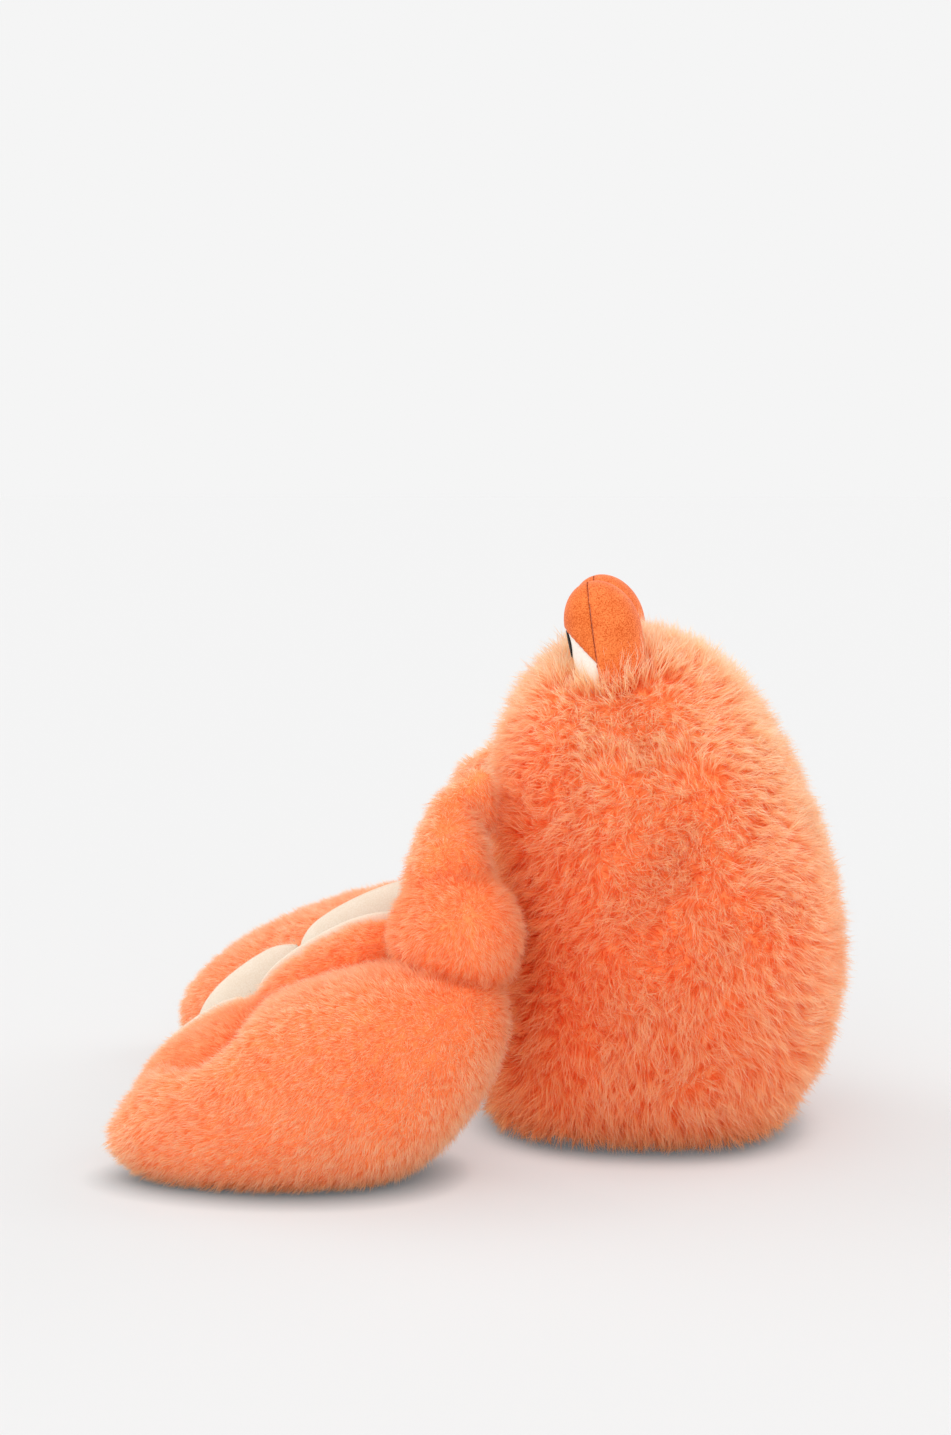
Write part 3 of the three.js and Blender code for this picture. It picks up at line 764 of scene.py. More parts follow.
# %% [markdown]
# ## Pile and skin colours
# Acrylic pile is dyed in the fibre. Along each strand the colour runs from a deep orange at the root,
# painted shade where strands shade each other, to a pale tip, painted light where light comes through the
# tips. The colour reads only the strand's own coordinates, so it stays with the strand wherever the toy
# moves. The woven backing under it is a deeper orange, partly painted shade for the gaps, and it shows
# only between strands.

# %% Cloth materials
STRAND_GLOW = 0.7
ROOT_TO_TIP = (0.0, 0.45, 1.0)


def pile_material(name, deep, pale):
    """deep and pale are the root, middle and tip colours of the darkest and lightest strands."""
    material, tree, shader = new_material(name, roughness=0.85, shine=0.15)
    where = add(tree, "ShaderNodeUVMap", uv_map=COLOUR_MAP)
    split = add(tree, "ShaderNodeSeparateXYZ", {"Vector": result(where)})
    ramps = []
    for colours in (deep, pale):
        ramp = add(tree, "ShaderNodeValToRGB", {"Fac": result(split, "Y")})
        ramp.color_ramp.elements.new(0.5)
        for element, place, colour in zip(ramp.color_ramp.elements, ROOT_TO_TIP, colours):
            element.position = place
            element.color = linear(colour)
        ramps.append(result(ramp, "Color"))
    shade = add(tree, "ShaderNodeMix", {"Factor": result(split, "X"), "A": ramps[0], "B": ramps[1]},
                data_type="RGBA")
    tree.links.new(result(shade), shader.inputs["Base Color"])
    through = add(tree, "ShaderNodeBsdfTranslucent", {"Color": result(shade)})
    strand = add(tree, "ShaderNodeMixShader", {0: STRAND_GLOW, 1: result(shader), 2: result(through)})
    tree.links.new(result(strand), tree.nodes["Material Output"].inputs["Surface"])
    return material


# Long pile: a warm orange at the roots as painted shade between strands, and a pale rim at the tips as
# painted light.
long_pile = pile_material("acrylic_long_pile", deep=("#ff9046", "#ffae6e", "#ffca94"),
                          pale=("#ffc488", "#ffe6bc", "#fff6e2"))
# Short pile: a paler, even orange, because its close strands leave few dark gaps; its roots too carry painted
# shade and its tips painted light.
short_pile = pile_material("acrylic_short_pile", deep=("#fe9e56", "#febe84", "#fed8ac"),
                           pale=("#feca92", "#feeac6", "#fef6e8"))


def backing_material(name, dark, light, thread_mm):
    """Knitted backing cloth: rows of loops a thread apart, in two close shades."""
    material, tree, shader = new_material(name, roughness=0.95, shine=0.1)
    where = result(add(tree, "ShaderNodeTexCoord"), "Object")
    loops = add(tree, "ShaderNodeTexNoise", {"Vector": where, "Scale": 1 / (thread_mm * MM)})
    ramp = add(tree, "ShaderNodeValToRGB", {"Fac": result(loops, 0)})
    for element, colour in zip(ramp.color_ramp.elements, (dark, light)):
        element.color = linear(colour)
    tree.links.new(result(ramp, "Color"), shader.inputs["Base Color"])
    return material


# Backing: the knitted cloth's own orange, kept deeper as painted shade for wherever the pile parts.
backing = backing_material("knitted_backing", "#fd9256", "#ffac72", 0.8)
for skin in skins.values():
    skin.data.materials.clear()
    skin.data.materials.append(backing)

# %% [markdown]
# ## Growing the pile
# A Geometry Nodes tree scatters points evenly over a skin, leans a tuft from each point towards the comb
# direction, and picks its version, size and shade at random from a fixed seed, then adds the skin's painted
# light and shade. Strands that would pass through the floor lie flat on it. The coat is cut into panels
# round a centre, as the real one is, which keeps each mesh a fair size.

# %% Tree helpers
def open_tree(name, inputs, output):
    """A new tree with named inputs: the tree, its input sockets, and the key of each for a modifier."""
    tree = bpy.data.node_groups.new(name, "GeometryNodeTree")
    for socket_name, kind in inputs.items():
        tree.interface.new_socket(name=socket_name, in_out="INPUT", socket_type="NodeSocket" + kind)
    tree.interface.new_socket(name=output, in_out="OUTPUT", socket_type="NodeSocketGeometry")
    start = add(tree, "NodeGroupInput")
    keys = {item.name: item.identifier for item in tree.interface.items_tree if item.in_out == "INPUT"}
    return tree, {socket_name: result(start, socket_name) for socket_name in inputs}, keys


def stored(tree, name, kind="FLOAT"):
    return result(add(tree, "GeometryNodeInputNamedAttribute", {"Name": name}, data_type=kind))


def chance(tree, low, high, seed, kind="FLOAT"):
    limits = {"Min": low, "Max": high, "Seed": seed}
    return result(add(tree, "FunctionNodeRandomValue", limits, data_type=kind))


# %% Scatter over a panel
MOST_TUFTS = 2.0e6
JUST_UNDER_HALF = 0.4999

pile_tree, given, pile_keys = open_tree("pile", {
    "Skin": "Geometry", "Tufts": "Collection", "Spacing": "Float", "Lean": "Float", "Scatter": "Float",
    "Panel": "Int", "Panels": "Int", "Centre": "Vector", "Seed": "Int", "Pile material": "Material"}, "Pile")
grows = stored(pile_tree, "cover")
spots = add(pile_tree, "GeometryNodeDistributePointsOnFaces",
            {"Mesh": given["Skin"], "Distance Min": given["Spacing"], "Density Max": MOST_TUFTS,
             "Density Factor": grows, "Seed": given["Seed"]}, distribute_method="POISSON")
place = result(add(pile_tree, "GeometryNodeInputPosition"))
outward = vector_maths(pile_tree, "SUBTRACT", place, given["Centre"])
apart = add(pile_tree, "ShaderNodeSeparateXYZ", {"Vector": outward})
angle = maths(pile_tree, "ARCTAN2", result(apart, "Y"), result(apart, "X"))
share = maths(pile_tree, "MULTIPLY_ADD", angle, 0.5 / math.pi, JUST_UNDER_HALF)
which_panel = maths(pile_tree, "FLOOR", maths(pile_tree, "MULTIPLY", share, given["Panels"]))
wanted = add(pile_tree, "FunctionNodeCompare", {"A": which_panel, "B": given["Panel"], "Epsilon": 0.1},
             data_type="FLOAT", operation="EQUAL")
panel = add(pile_tree, "GeometryNodeSeparateGeometry",
            {"Geometry": result(spots, "Points"), "Selection": result(wanted)}, domain="POINT")

# %% Lean and pick tufts
TUFT_TWIST = 1.1
TUFT_SIZES = (0.78, 1.15)
STRAY_SEED, TWIST_SEED, SIZE_SEED, VERSION_SEED = 5, 6, 7, 8

comb = stored(pile_tree, "comb", "FLOAT_VECTOR")
leaning = vector_maths(pile_tree, "SCALE", comb, given["Lean"])
stray = chance(pile_tree, (-1, -1, -1), (1, 1, 1), STRAY_SEED, "FLOAT_VECTOR")
loose = vector_maths(pile_tree, "SCALE", stray, given["Scatter"])
raised = vector_maths(pile_tree, "ADD", result(spots, "Normal"), leaning)
heading = vector_maths(pile_tree, "ADD", raised, loose)
stand = add(pile_tree, "FunctionNodeAxesToRotation", {"Primary Axis": heading, "Secondary Axis": comb},
            primary_axis="Z", secondary_axis="X")
twist = chance(pile_tree, -TUFT_TWIST, TUFT_TWIST, TWIST_SEED)
twist_turn = add(pile_tree, "FunctionNodeAxisAngleToRotation", {"Axis": (0, 0, 1), "Angle": twist})
turned = add(pile_tree, "FunctionNodeRotateRotation",
             {"Rotation": result(stand), "Rotate By": result(twist_turn)}, rotation_space="LOCAL")
trimmed = maths(pile_tree, "MULTIPLY", chance(pile_tree, *TUFT_SIZES, SIZE_SEED), grows)
version = chance(pile_tree, 0, TUFT_VERSIONS - 1, VERSION_SEED, "INT")
stock = add(pile_tree, "GeometryNodeCollectionInfo",
            {"Collection": given["Tufts"], "Separate Children": True, "Reset Children": True})
grown = add(pile_tree, "GeometryNodeInstanceOnPoints",
            {"Points": result(panel, "Selection"), "Instance": result(stock), "Pick Instance": True,
             "Instance Index": version, "Rotation": result(turned), "Scale": trimmed})

# %% Shade, flatten and finish
MOTTLE_MM = 26
MOTTLE_DEPTH = 0.5
TUFT_SHADES = 0.18
SHADE_SEED = 9
SHADE_LEAST, SHADE_MOST = (0.02, 0.0, 0.0), (0.98, 1.0, 1.0)
STRANDS_ABOVE = (-9, -9, 0.5 * MM)

patchy = add(pile_tree, "ShaderNodeTexNoise", {"Vector": place, "Scale": 1 / (MOTTLE_MM * MM), "Detail": 1.0})
patch_shift = maths(pile_tree, "MULTIPLY_ADD", result(patchy, 0), MOTTLE_DEPTH, -MOTTLE_DEPTH / 2)
mottle = maths(pile_tree, "ADD", patch_shift, chance(pile_tree, -TUFT_SHADES, TUFT_SHADES, SHADE_SEED))
# The random mottle plus the skin's painted light and shade.
shift = maths(pile_tree, "ADD", mottle, stored(pile_tree, "shade"))
shaded = add(pile_tree, "GeometryNodeStoreNamedAttribute",
             {"Geometry": result(grown), "Name": "shift", "Value": shift},
             data_type="FLOAT", domain="INSTANCE")
real = add(pile_tree, "GeometryNodeRealizeInstances", {"Geometry": result(shaded)})
shift_across = add(pile_tree, "ShaderNodeCombineXYZ", {"X": stored(pile_tree, "shift")})
old_shade = stored(pile_tree, COLOUR_MAP, "FLOAT_VECTOR")
new_shade = vector_maths(pile_tree, "ADD", old_shade, result(shift_across))
not_below = vector_maths(pile_tree, "MAXIMUM", new_shade, SHADE_LEAST)
held = vector_maths(pile_tree, "MINIMUM", not_below, SHADE_MOST)
dyed = add(pile_tree, "GeometryNodeStoreNamedAttribute",
           {"Geometry": result(real), "Name": COLOUR_MAP, "Value": held}, data_type="FLOAT2", domain="CORNER")
end_place = result(add(pile_tree, "GeometryNodeInputPosition"))
above_floor = vector_maths(pile_tree, "MAXIMUM", end_place, STRANDS_ABOVE)
laid = add(pile_tree, "GeometryNodeSetPosition", {"Geometry": result(dyed), "Position": above_floor})
finished = add(pile_tree, "GeometryNodeSetMaterial",
               {"Geometry": result(laid), "Material": given["Pile material"]})
add(pile_tree, "NodeGroupOutput", {"Pile": result(finished)})


# %% Grow the coats
def grow_pile(name, skin, panel=0, **settings):
    carrier = show(name, skin.data)
    modifier = carrier.modifiers.new("pile", "NODES")
    modifier.node_group = pile_tree
    for key, value in {**settings, "Panel": panel}.items():
        modifier[pile_keys[key]] = value
    depsgraph = bpy.context.evaluated_depsgraph_get()
    mesh = bpy.data.meshes.new_from_object(carrier.evaluated_get(depsgraph), depsgraph=depsgraph)
    mesh.name = name
    for leftover in ("shift", "comb", "cover", "shade"):
        if leftover in mesh.attributes:
            mesh.attributes.remove(mesh.attributes[leftover])
    bpy.data.objects.remove(carrier)
    mesh.calc_loop_triangles()
    print(name, len(mesh.loop_triangles), "triangles", [layer.name for layer in mesh.uv_layers])
    return show(name, mesh)


LONG_COAT = {"Tufts": tufts["long"], "Spacing": 2.35 * MM, "Lean": 0.36, "Scatter": 0.5,
             "Pile material": long_pile}
SHORT_COAT = {"Tufts": tufts["short"], "Spacing": 1.98 * MM, "Lean": 0.55, "Scatter": 0.4,
              "Pile material": short_pile}
BODY_PANELS = 6
CLAW_PANELS = 2
BODY_SEED = 21
LIMB_SEED = 40

coats = []
for panel_number in range(BODY_PANELS):
    fur = grow_pile(f"body_fur_{panel_number + 1}", body_cloth, panel_number, Panels=BODY_PANELS,
                    Centre=(0, 0, 0), Seed=BODY_SEED, **LONG_COAT)
    coats.append((fur, "torso", "long_pile_fur"))
for index, (name, skin) in enumerate(skins.items()):
    if name == "body":
        continue
    panels = CLAW_PANELS if kind_of(name) == "claw" else 1
    middle = sum((Vector(corner) for corner in skin.bound_box), Vector()) / 8
    for panel_number in range(panels):
        tail = f"_{panel_number + 1}" if panels > 1 else ""
        fur = grow_pile(name + "_fur" + tail, skin, panel_number, Panels=panels, Centre=middle,
                        Seed=LIMB_SEED + index, **SHORT_COAT)
        coats.append((fur, name, "short_pile_fur"))

# %% [markdown]
# ## Eyes
# Each eye is a white stuffed ball. An orange velour panel covers its back, a second one makes the lid
# over its front, and a black felt disc sits under the lid. The panels are cut from one oval by the seam
# planes, and each cut edge is rolled under as a sewn edge is.

# %% Eye panels
EYE_SEAM_Y = -5
EYE_SEAM_LEAN = 7.8
LID_EDGE_TURN = 45
LID_EDGE_DROP = 21
PUPIL_HALF = 8.5
PUPIL_DROP = 8
DISC_SIDES = 24
VELOUR_ROLL = 0.8
FELT_ROLL = 0.3
VELOUR_WALL = 1.5
FELT_WALL = 0.9
WHITE_INSET = 1.2
FELT_INSET = 0.5
SEAM_GAP = 0.1
EYE_PLAN_POWER = 2.5
EYE_SINK = 2.2
EYE_TILT = 0.15


def facing(turn):
    """Which way a seam plane faces: towards -Y, turned down by some degrees."""
    angle = math.radians(turn)
    return np.array([0.0, -math.cos(angle), -math.sin(angle)])


def eye_patch(name, side, half, keep, thickness, roll=VELOUR_ROLL):
    """Part of the eye's oval. keep lists planes as a point and the direction of the side to keep."""
    build = bmesh.new()
    bmesh.ops.create_uvsphere(build, u_segments=112, v_segments=72, radius=1)
    for vertex in build.verts:
        plan = math.hypot(vertex.co.x, vertex.co.y)
        square = sum(abs(run) ** EYE_PLAN_POWER for run in vertex.co.xy) ** (1 / EYE_PLAN_POWER)
        fuller = plan / square if square > 1e-6 else 1
        vertex.co.x *= fuller
        vertex.co.y *= fuller
        vertex.co.z *= EYE_SINK if vertex.co.z < 0 else 1
        vertex.co = Vector(vertex.co * Vector(half * MM))
        vertex.co.y -= EYE_TILT * vertex.co.z
    bmesh.ops.translate(build, vec=Vector(EYE_CENTRE * MM), verts=build.verts)
    for point, direction in keep:
        everything = list(build.verts) + list(build.edges) + list(build.faces)
        bmesh.ops.bisect_plane(build, geom=everything, dist=1e-7, plane_co=Vector(point * MM),
                               plane_no=Vector(direction), clear_inner=True)
    centre = Vector(EYE_CENTRE * MM)
    for vertex in build.verts:
        nearest = min([(np.array(vertex.co) / MM - p) @ d for p, d in keep], default=roll)
        if nearest < roll:
            tuck = roll - math.sqrt(max(0, roll ** 2 - (roll - nearest) ** 2))
            vertex.co -= (vertex.co - centre).normalized() * tuck * MM
    for vertex in build.verts:
        vertex.co.x *= side
    if side < 0:
        bmesh.ops.reverse_faces(build, faces=build.faces)
    piece = piece_from(name, build)
    if thickness:
        wall = piece.modifiers.new("wall", "SOLIDIFY")
        wall.thickness = thickness * MM
        wall.offset = -1
        keep_evaluated(piece)
    return piece


seam_point = EYE_CENTRE + [0, EYE_SEAM_Y, 0]
seam_way = facing(EYE_SEAM_LEAN)
lid_point = EYE_CENTRE - [0, 0, LID_EDGE_DROP]
lid_way = facing(LID_EDGE_TURN)
rays = [np.array([math.cos(a), 0, math.sin(a)]) for a in np.arange(DISC_SIDES) / DISC_SIDES * 2 * math.pi]
back = [(seam_point, -seam_way)]
lid = [(seam_point + SEAM_GAP * seam_way, seam_way), (lid_point, -lid_way)]
disc = [(EYE_CENTRE - [0, 0, PUPIL_DROP] + PUPIL_HALF * way, -way) for way in rays]
disc += [(EYE_CENTRE, np.array([0.0, -1.0, 0.0])), (lid_point, lid_way)]
eyes = []
for side_name, side in SIDES:
    white = eye_patch(side_name + "_eye_white", side, EYE_HALF - WHITE_INSET, [], 0)
    velour = eye_patch(side_name + "_eye_velour", side, EYE_HALF, back, VELOUR_WALL)
    lid_velour = eye_patch(side_name + "_lid_velour", side, EYE_HALF, lid, VELOUR_WALL)
    pupil = eye_patch(side_name + "_pupil_felt", side, EYE_HALF - FELT_INSET, disc, FELT_WALL, FELT_ROLL)
    eyes += [(white, side_name, "eye_ball"), (velour, side_name, "eye_back"),
             (lid_velour, side_name, "eyelid"), (pupil, side_name, "pupil")]
print(len(eyes), "eye pieces")

# %% [markdown]
# ## Cream teeth
# The teeth are padded pockets of smooth brushed knit. Each is a pillow with a flat back on the finger's
# seam and a rolled rim that shows from the furry side too. The two pillows pinch together along the notch
# between them.

# %% Tooth pads
RIM = 2.0
RIM_ROWS = ((2.8, 0.96, 0.0), (2.5, 1.0, 0.6), (1.0, 1.0, 1.0), (-0.6, 1.0, 0.85))
FACE_RIM, FACE_RIM_FADE = 0.6, 6
NOTCH_GAP = 0.3
NOTCH_PINCH = 14
NOTCH_ROUND, NOTCH_ROUND_REACH = 0.12, 16


def tooth_pad(tooth, ahead, count=96, rows=28):
    """A pillow of rings. RIM_ROWS gives the rolled rim: how far out, how large, and how much of the roll."""
    y, z = tooth_outline(tooth, 0, count)
    angle = math.radians(TOOTH_NOTCH_SLOPE)
    way = np.array([-math.cos(angle), -math.sin(angle)]) * (1 if ahead else -1)
    across = np.array([-way[1], way[0]])
    middle = np.array([tooth["y"], tooth["z"]])
    steps = [(out, far, RIM * roll) for out, far, roll in RIM_ROWS]
    for row in range(1, rows):
        turn = math.pi / 2 * row / rows
        rim = RIM * FACE_RIM * math.cos(turn) ** FACE_RIM_FADE
        steps.append((-math.sin(turn) * tooth["face"], math.cos(turn) ** TOOTH_ROUNDING, rim))

    def ring(out, far, rim):
        larger = far + rim / np.hypot(y, z)
        grown = np.stack([tooth["y"] + y * larger, tooth["z"] + z * larger], 1)
        inside = (grown - TOOTH_NOTCH) @ way - NOTCH_GAP
        grown -= np.minimum(inside, 0)[:, None] * way
        corner = NOTCH_ROUND * (1 - np.clip(inside / NOTCH_ROUND_REACH, 0, 1)) ** 2
        grown -= (((grown - middle) @ across) * corner)[:, None] * across
        pinch = np.clip(np.maximum(inside, 0) / NOTCH_PINCH, 0, 1)
        thick = np.sqrt(1 - (1 - pinch) ** 2)
        x = TOOTH_SEAM_X + (out * thick if out < RIM_ROWS[-1][0] else np.full(count, out))
        return np.column_stack([x, grown])

    rings = [ring(*step) for step in steps]
    return lofted(rings, [TOOTH_SEAM_X + RIM_ROWS[0][0], *middle], [TOOTH_SEAM_X - tooth["face"], *middle])


pads = []
for side_name, side in SIDES:
    for tooth_name, tooth in FINGER_TEETH[side_name].items():
        pillow = mirrored(tooth_pad(tooth, tooth_name == "front"), side)
        pad = make_piece(f"{side_name}_{tooth_name}_tooth", [pillow])
        pads.append((pad, side_name, tooth_name + "_tooth_pad"))
print(len(pads), "tooth pads")

# %% [markdown]
# A padded pocket is round because its filling pushes the cloth out evenly until the seams hold it. A
# short cloth simulation settles it: the rim is pinned, air presses from inside for twenty frames, and no
# point may move more than a few millimetres. The lofted pillow is already full, so the cloth is taut and
# moves by only about a tenth of a millimetre, which keeps the teeth as smooth as the real ones. One
# subdivision rounds the result.

# %% Fill the teeth
PAD_AIR = 4.0
PAD_FRAMES = 20
PAD_MOST_MOVE = 3.0
SEAM_HOLD = 1.0


def coordinates(mesh):
    flat = np.empty(len(mesh.vertices) * 3)
    mesh.vertices.foreach_get("co", flat)
    return flat.reshape(-1, 3)


flat_pads = {}
for pad, _, _ in pads:
    flat_pads[pad.name] = coordinates(pad.data)
    seam = pad.vertex_groups.new(name="seam")
    pinned = (TOOTH_SEAM_X - SEAM_HOLD) * MM
    seam.add([v.index for v in pad.data.vertices if abs(v.co.x) > pinned], 1.0, "REPLACE")
    cloth = pad.modifiers.new("filling", "CLOTH")
    cloth.settings.vertex_group_mass = "seam"
    cloth.settings.use_pressure = True
    cloth.settings.uniform_pressure_force = PAD_AIR
    cloth.settings.effector_weights.gravity = 0.0
    cloth.point_cache.frame_end = PAD_FRAMES
for frame_number in range(1, PAD_FRAMES + 1):
    scene.frame_set(frame_number)
for pad, _, _ in pads:
    keep_evaluated(pad)
    moved = coordinates(pad.data) - flat_pads[pad.name]
    far = np.linalg.norm(moved, axis=1, keepdims=True)
    moved *= np.minimum(1, PAD_MOST_MOVE * MM / np.maximum(far, 1e-9))
    pad.data.vertices.foreach_set("co", (flat_pads[pad.name] + moved).ravel())
    print(pad.name, "moved up to", round(float(far.max()) / MM, 1), "mm before the limit")
scene.frame_set(1)
for pad, _, _ in pads:
    rounder = pad.modifiers.new("rounder", "SUBSURF")
    rounder.levels = rounder.render_levels = 1
    keep_evaluated(pad)

# %% [markdown]
# ## Smooth cloths
# Velour is a cut pile under a millimetre high, so it is drawn as fine speckle with a soft sheen at the
# edge. The cream teeth are brushed knit with faint rows of loops, the eye white is plain knit, and the
# pupil is felt.

# %% Smooth cloth materials
DRIFT_MM = 14
DRIFT_SHARE = 0.2
GRAIN_RANGE = (0.36, 0.64)
GRAIN_STRENGTH = 0.6


def smooth_cloth(name, dark, light, grain_mm, bump_mm, sheen):
    """Two close shades in fine grain with a slow drift across it, a slight bump, and a sheen at the edge."""
    material, tree, shader = new_material(name, roughness=0.9, shine=0.1)
    where = result(add(tree, "ShaderNodeTexCoord"), "Object")
    grain = add(tree, "ShaderNodeTexNoise", {"Vector": where, "Scale": 1 / (grain_mm * MM), "Detail": 3.0})
    drift = add(tree, "ShaderNodeTexNoise", {"Vector": where, "Scale": 1 / (DRIFT_MM * MM)})
    both = add(tree, "ShaderNodeMix", {"Factor": DRIFT_SHARE, "A": result(grain, 0), "B": result(drift, 0)},
               data_type="FLOAT")
    ramp = add(tree, "ShaderNodeValToRGB", {"Fac": result(both)})
    for element, position, colour in zip(ramp.color_ramp.elements, GRAIN_RANGE, (dark, light)):
        element.position = position
        element.color = linear(colour)
    bump = add(tree, "ShaderNodeBump",
               {"Height": result(grain, 0), "Distance": bump_mm * MM, "Strength": GRAIN_STRENGTH})
    tree.links.new(result(ramp, "Color"), shader.inputs["Base Color"])
    tree.links.new(result(bump), shader.inputs["Normal"])
    shader.inputs["Sheen Weight"].default_value = sheen
    shader.inputs["Sheen Roughness"].default_value = 0.5
    return material


cloths = {
    # A clean white that isn't bright, so that the eye reads as cloth.
    "eye_ball": smooth_cloth("white_knit", "#efe9df", "#f8f4ec", 0.9, 0.1, 0.1),
    # A strong orange with a fine speckle, deeper than the pile beside it.
    "eye_back": smooth_cloth("orange_velour", "#cf5218", "#ff8e4e", 0.7, 0.4, 0.15),
    # The same cloth, a shade duller, so that the lid stands apart from the back.
    "eyelid": smooth_cloth("lid_velour", "#cd5418", "#fa8a48", 0.7, 0.4, 0.15),
    # A soft black with no shine.
    "pupil": smooth_cloth("black_felt", "#161414", "#262322", 0.9, 0.15, 0.1),
    # A warm cream that is almost even, beside all the pile.
    "tooth": smooth_cloth("cream_brushed_knit", "#dfcdb7", "#e7d9c8", 0.9, 0.1, 0.1),
}
for piece, _, part in eyes:
    piece.data.materials.append(cloths[part])
for piece, _, _ in pads:
    piece.data.materials.append(cloths["tooth"])

# %% [markdown]
# ## Stitches
# The eye's two panels meet in a seam with a stitch every two and a half millimetres, and a short row of
# stitches holds the notch between the teeth. A Geometry Nodes tree lays one small stitch after another
# along a line.

# %% Stitch tree
STITCH = {"long": 1.5, "thick": 0.36, "every": 2.5, "sunk": 0.15}

stitch_tree, sewn, stitch_keys = open_tree("stitches", {
    "Line": "Geometry", "Stitch": "Object", "Every": "Float", "Thread": "Material"}, "Stitches")
line = add(stitch_tree, "GeometryNodeMeshToCurve", {"Mesh": sewn["Line"]})
needle = add(stitch_tree, "GeometryNodeCurveToPoints", {"Curve": result(line), "Length": sewn["Every"]},
             mode="LENGTH")
thread = add(stitch_tree, "GeometryNodeObjectInfo", {"Object": sewn["Stitch"]})
row = add(stitch_tree, "GeometryNodeInstanceOnPoints",
          {"Points": result(needle, "Points"), "Instance": result(thread, "Geometry"),
           "Rotation": result(needle, "Rotation")})
drawn = add(stitch_tree, "GeometryNodeRealizeInstances", {"Geometry": result(row)})
dyed_thread = add(stitch_tree, "GeometryNodeSetMaterial",
                  {"Geometry": result(drawn), "Material": sewn["Thread"]})
add(stitch_tree, "NodeGroupOutput", {"Stitches": result(dyed_thread)})

# %% Sew the seams
STITCH_SIDES = 6
STITCH_ROWS = ((0.35, -0.42), (0.5, -0.2), (0.5, 0.2), (0.35, 0.42))

stitch_x, stitch_y = rounded(STITCH_SIDES, 2)
stitch_rings = [np.stack([stitch_x * wide * STITCH["thick"], stitch_y * wide * STITCH["thick"],
                          np.full(STITCH_SIDES, along * STITCH["long"])], 1) for wide, along in STITCH_ROWS]
stitch_end = np.array([0, 0, STITCH["long"] / 2])
one_stitch = make_piece("one_stitch", [lofted(stitch_rings, -stitch_end, stitch_end)])


def sew(name, places, side, thread_cloth):
    mesh = bpy.data.meshes.new(name)
    corners = (np.array(places) * [side, 1, 1] * MM).tolist()
    mesh.from_pydata(corners, [(i, i + 1) for i in range(len(places) - 1)], [])
    row_of_stitches = show(name, mesh)
    modifier = row_of_stitches.modifiers.new("stitches", "NODES")
    modifier.node_group = stitch_tree
    modifier[stitch_keys["Stitch"]] = one_stitch
    modifier[stitch_keys["Every"]] = STITCH["every"] * MM
    modifier[stitch_keys["Thread"]] = thread_cloth
    return keep_evaluated(row_of_stitches)


def inside_eye(point):
    run = point - EYE_CENTRE
    run[1] += EYE_TILT * run[2]
    run = run / EYE_HALF
    run[2] /= EYE_SINK if run[2] < 0 else 1
    plan = (abs(run[0]) ** EYE_PLAN_POWER + abs(run[1]) ** EYE_PLAN_POWER) ** (2 / EYE_PLAN_POWER)
    return plan + run[2] ** 2 < 1


SEAM_FROM, SEAM_TO, SEAM_STEP = -50, 231, 4
WELL_OUTSIDE = 60.0
CLOSE_ENOUGH = 0.01
NOTCH_SUNK = 0.9
NOTCH_RUN = (-2, 40, 2)


def eye_seam_line():
    """Points where the seam plane meets the eye's surface, each found by halving the distance."""
    lean = math.radians(EYE_SEAM_LEAN)
    seam_up = np.array([0.0, -math.sin(lean), math.cos(lean)])
    places = []
    for angle in np.radians(np.arange(SEAM_FROM, SEAM_TO, SEAM_STEP)):
        way = np.array([math.cos(angle), 0, 0]) + math.sin(angle) * seam_up
        near, far = 0.0, WELL_OUTSIDE
        while far - near > CLOSE_ENOUGH:
            middle = (near + far) / 2
            near, far = (middle, far) if inside_eye(seam_point + way * middle) else (near, middle)
        places.append(seam_point + way * (near - STITCH["sunk"]))
    return places


notch_slope = math.radians(TOOTH_NOTCH_SLOPE)
notch_way = np.array([0, math.sin(notch_slope), -math.cos(notch_slope)])
notch_start = np.array([TOOTH_SEAM_X - NOTCH_SUNK, *TOOTH_NOTCH])
notch_line = [notch_start + notch_way * run for run in np.arange(*NOTCH_RUN)]
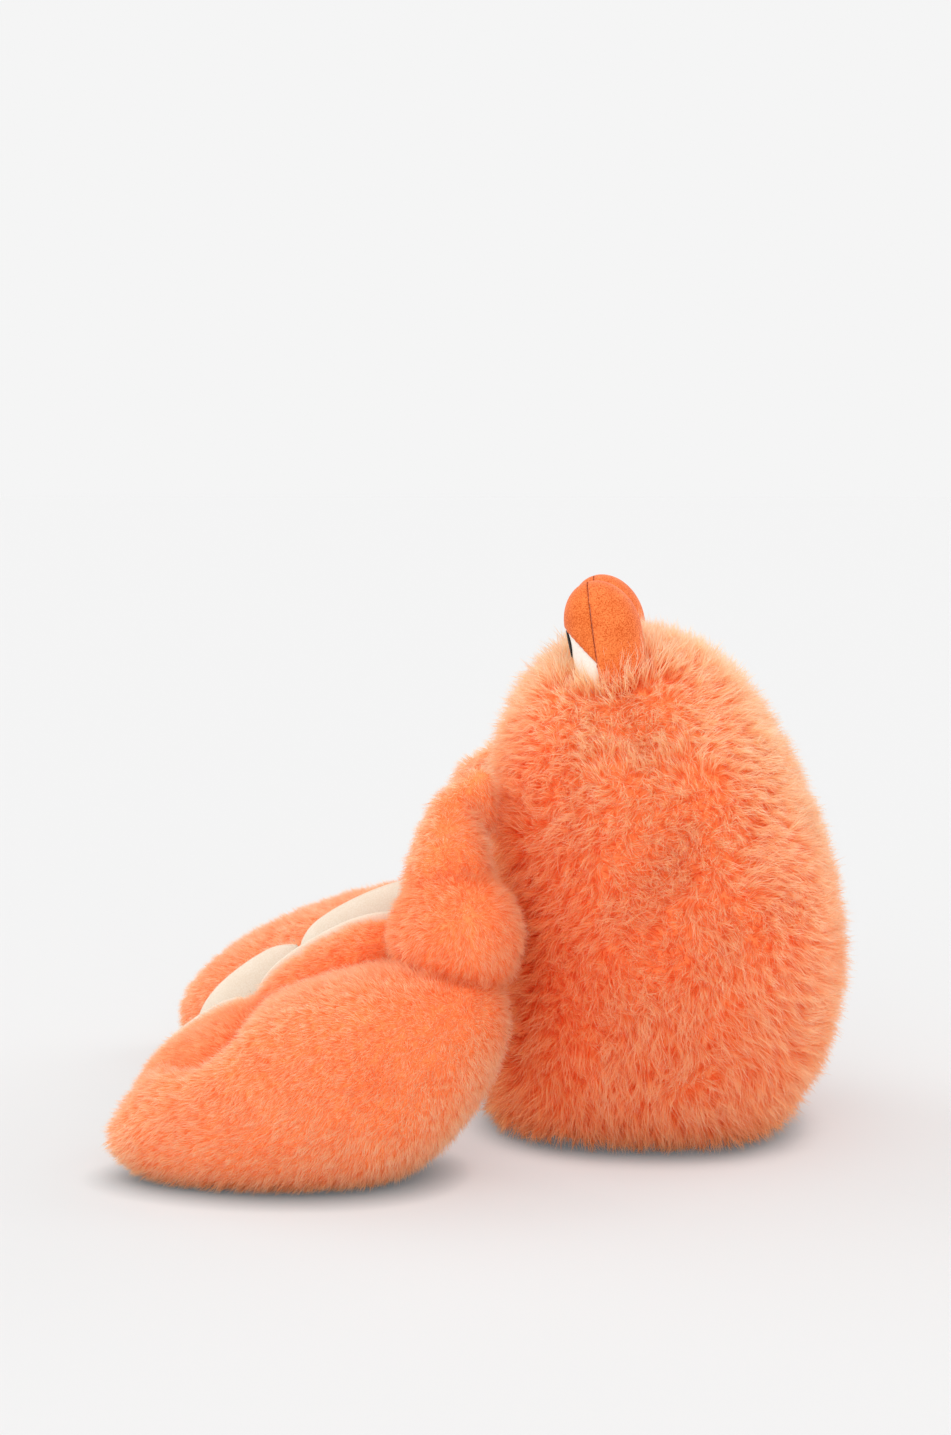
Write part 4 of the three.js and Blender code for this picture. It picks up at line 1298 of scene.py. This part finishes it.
# Threads: a thin line a little deeper than the cloth that they hold.
orange_thread = smooth_cloth("orange_thread", "#ac4a18", "#cc6428", 0.4, 0.05, 0.0)
cream_thread = smooth_cloth("cream_thread", "#c4ad93", "#d6c2a9", 0.4, 0.05, 0.0)
seams = []
for side_name, side in SIDES:
    eye_stitches = sew(side_name + "_eye_stitches", eye_seam_line(), side, orange_thread)
    notch_stitches = sew(side_name + "_notch_stitches", notch_line, side, cream_thread)
    seams += [(eye_stitches, "torso", "eye_velour"), (notch_stitches, side_name + "_finger", "cream_lining")]
bpy.data.objects.remove(one_stitch)
print({piece.name: len(piece.data.polygons) for piece, _, _ in seams})

# %% [markdown]
# ## Bottom panel
# A flat cloth panel closes the bottom of the body. Nobody sees it while the crab sits, so it is a thin
# disc with a rounded edge in a plain woven cloth.

# %% Bottom panel
BASE_HEM = 12.3
BASE_PANEL = 4
BASE_EDGE = ((1.2, 0.0), (0.3, 0.4), (0.0, 1.2), (0.0, 2.8), (0.3, 3.6), (1.2, BASE_PANEL))

base_rings = [body_ring(0, BASE_HEM + trim, around=72) + [0, 0, height] for trim, height in BASE_EDGE]
base_middle = np.array([0, body_lean(0), 0])
base = make_piece("base_cloth", [lofted(base_rings, base_middle, base_middle + [0, 0, BASE_PANEL])])
# Base cloth: a plain, deeper orange with a coarse thread, seen only from below.
base.data.materials.append(backing_material("woven_base_cloth", "#c9571f", "#e0763c", 1.2))

# %% [markdown]
# ## Joining everything to the frame
# Every piece but the upper arm rides on the body that carries it, and each stuffed piece stands for its
# solid cover and filling. The upper arm is sewn to the body at its top; here its pieces ride on no body,
# and their placement is baked into their meshes.


def carry(piece, body):
    """Upper-arm pieces have their placement baked in and ride on no body; every other piece rides on one
    body.
    """
    if kind_of(body) != "upper_arm":
        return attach(piece, body)
    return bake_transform(piece)


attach(body_cloth, "torso")
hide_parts("body_cover", "body_filling", "pellet_bag")
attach(base, "torso")
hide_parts("base_panel")
for name, skin in skins.items():
    if name == "body":
        continue
    carry(skin, name)
    if kind_of(name) == "finger":
        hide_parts(name + "_back")
    else:
        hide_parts(name + "_cover", name + "_filling")
for fur, body, slot_name in coats + seams:
    carry(fur, body)
for piece, side_name, part in eyes:
    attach(piece, "torso")
    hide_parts(f"{side_name}_{part}")
for piece, side_name, part in pads:
    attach(piece, side_name + "_finger")
    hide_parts(f"{side_name}_{part}")

# %% Finish
bpy.context.view_layer.update()
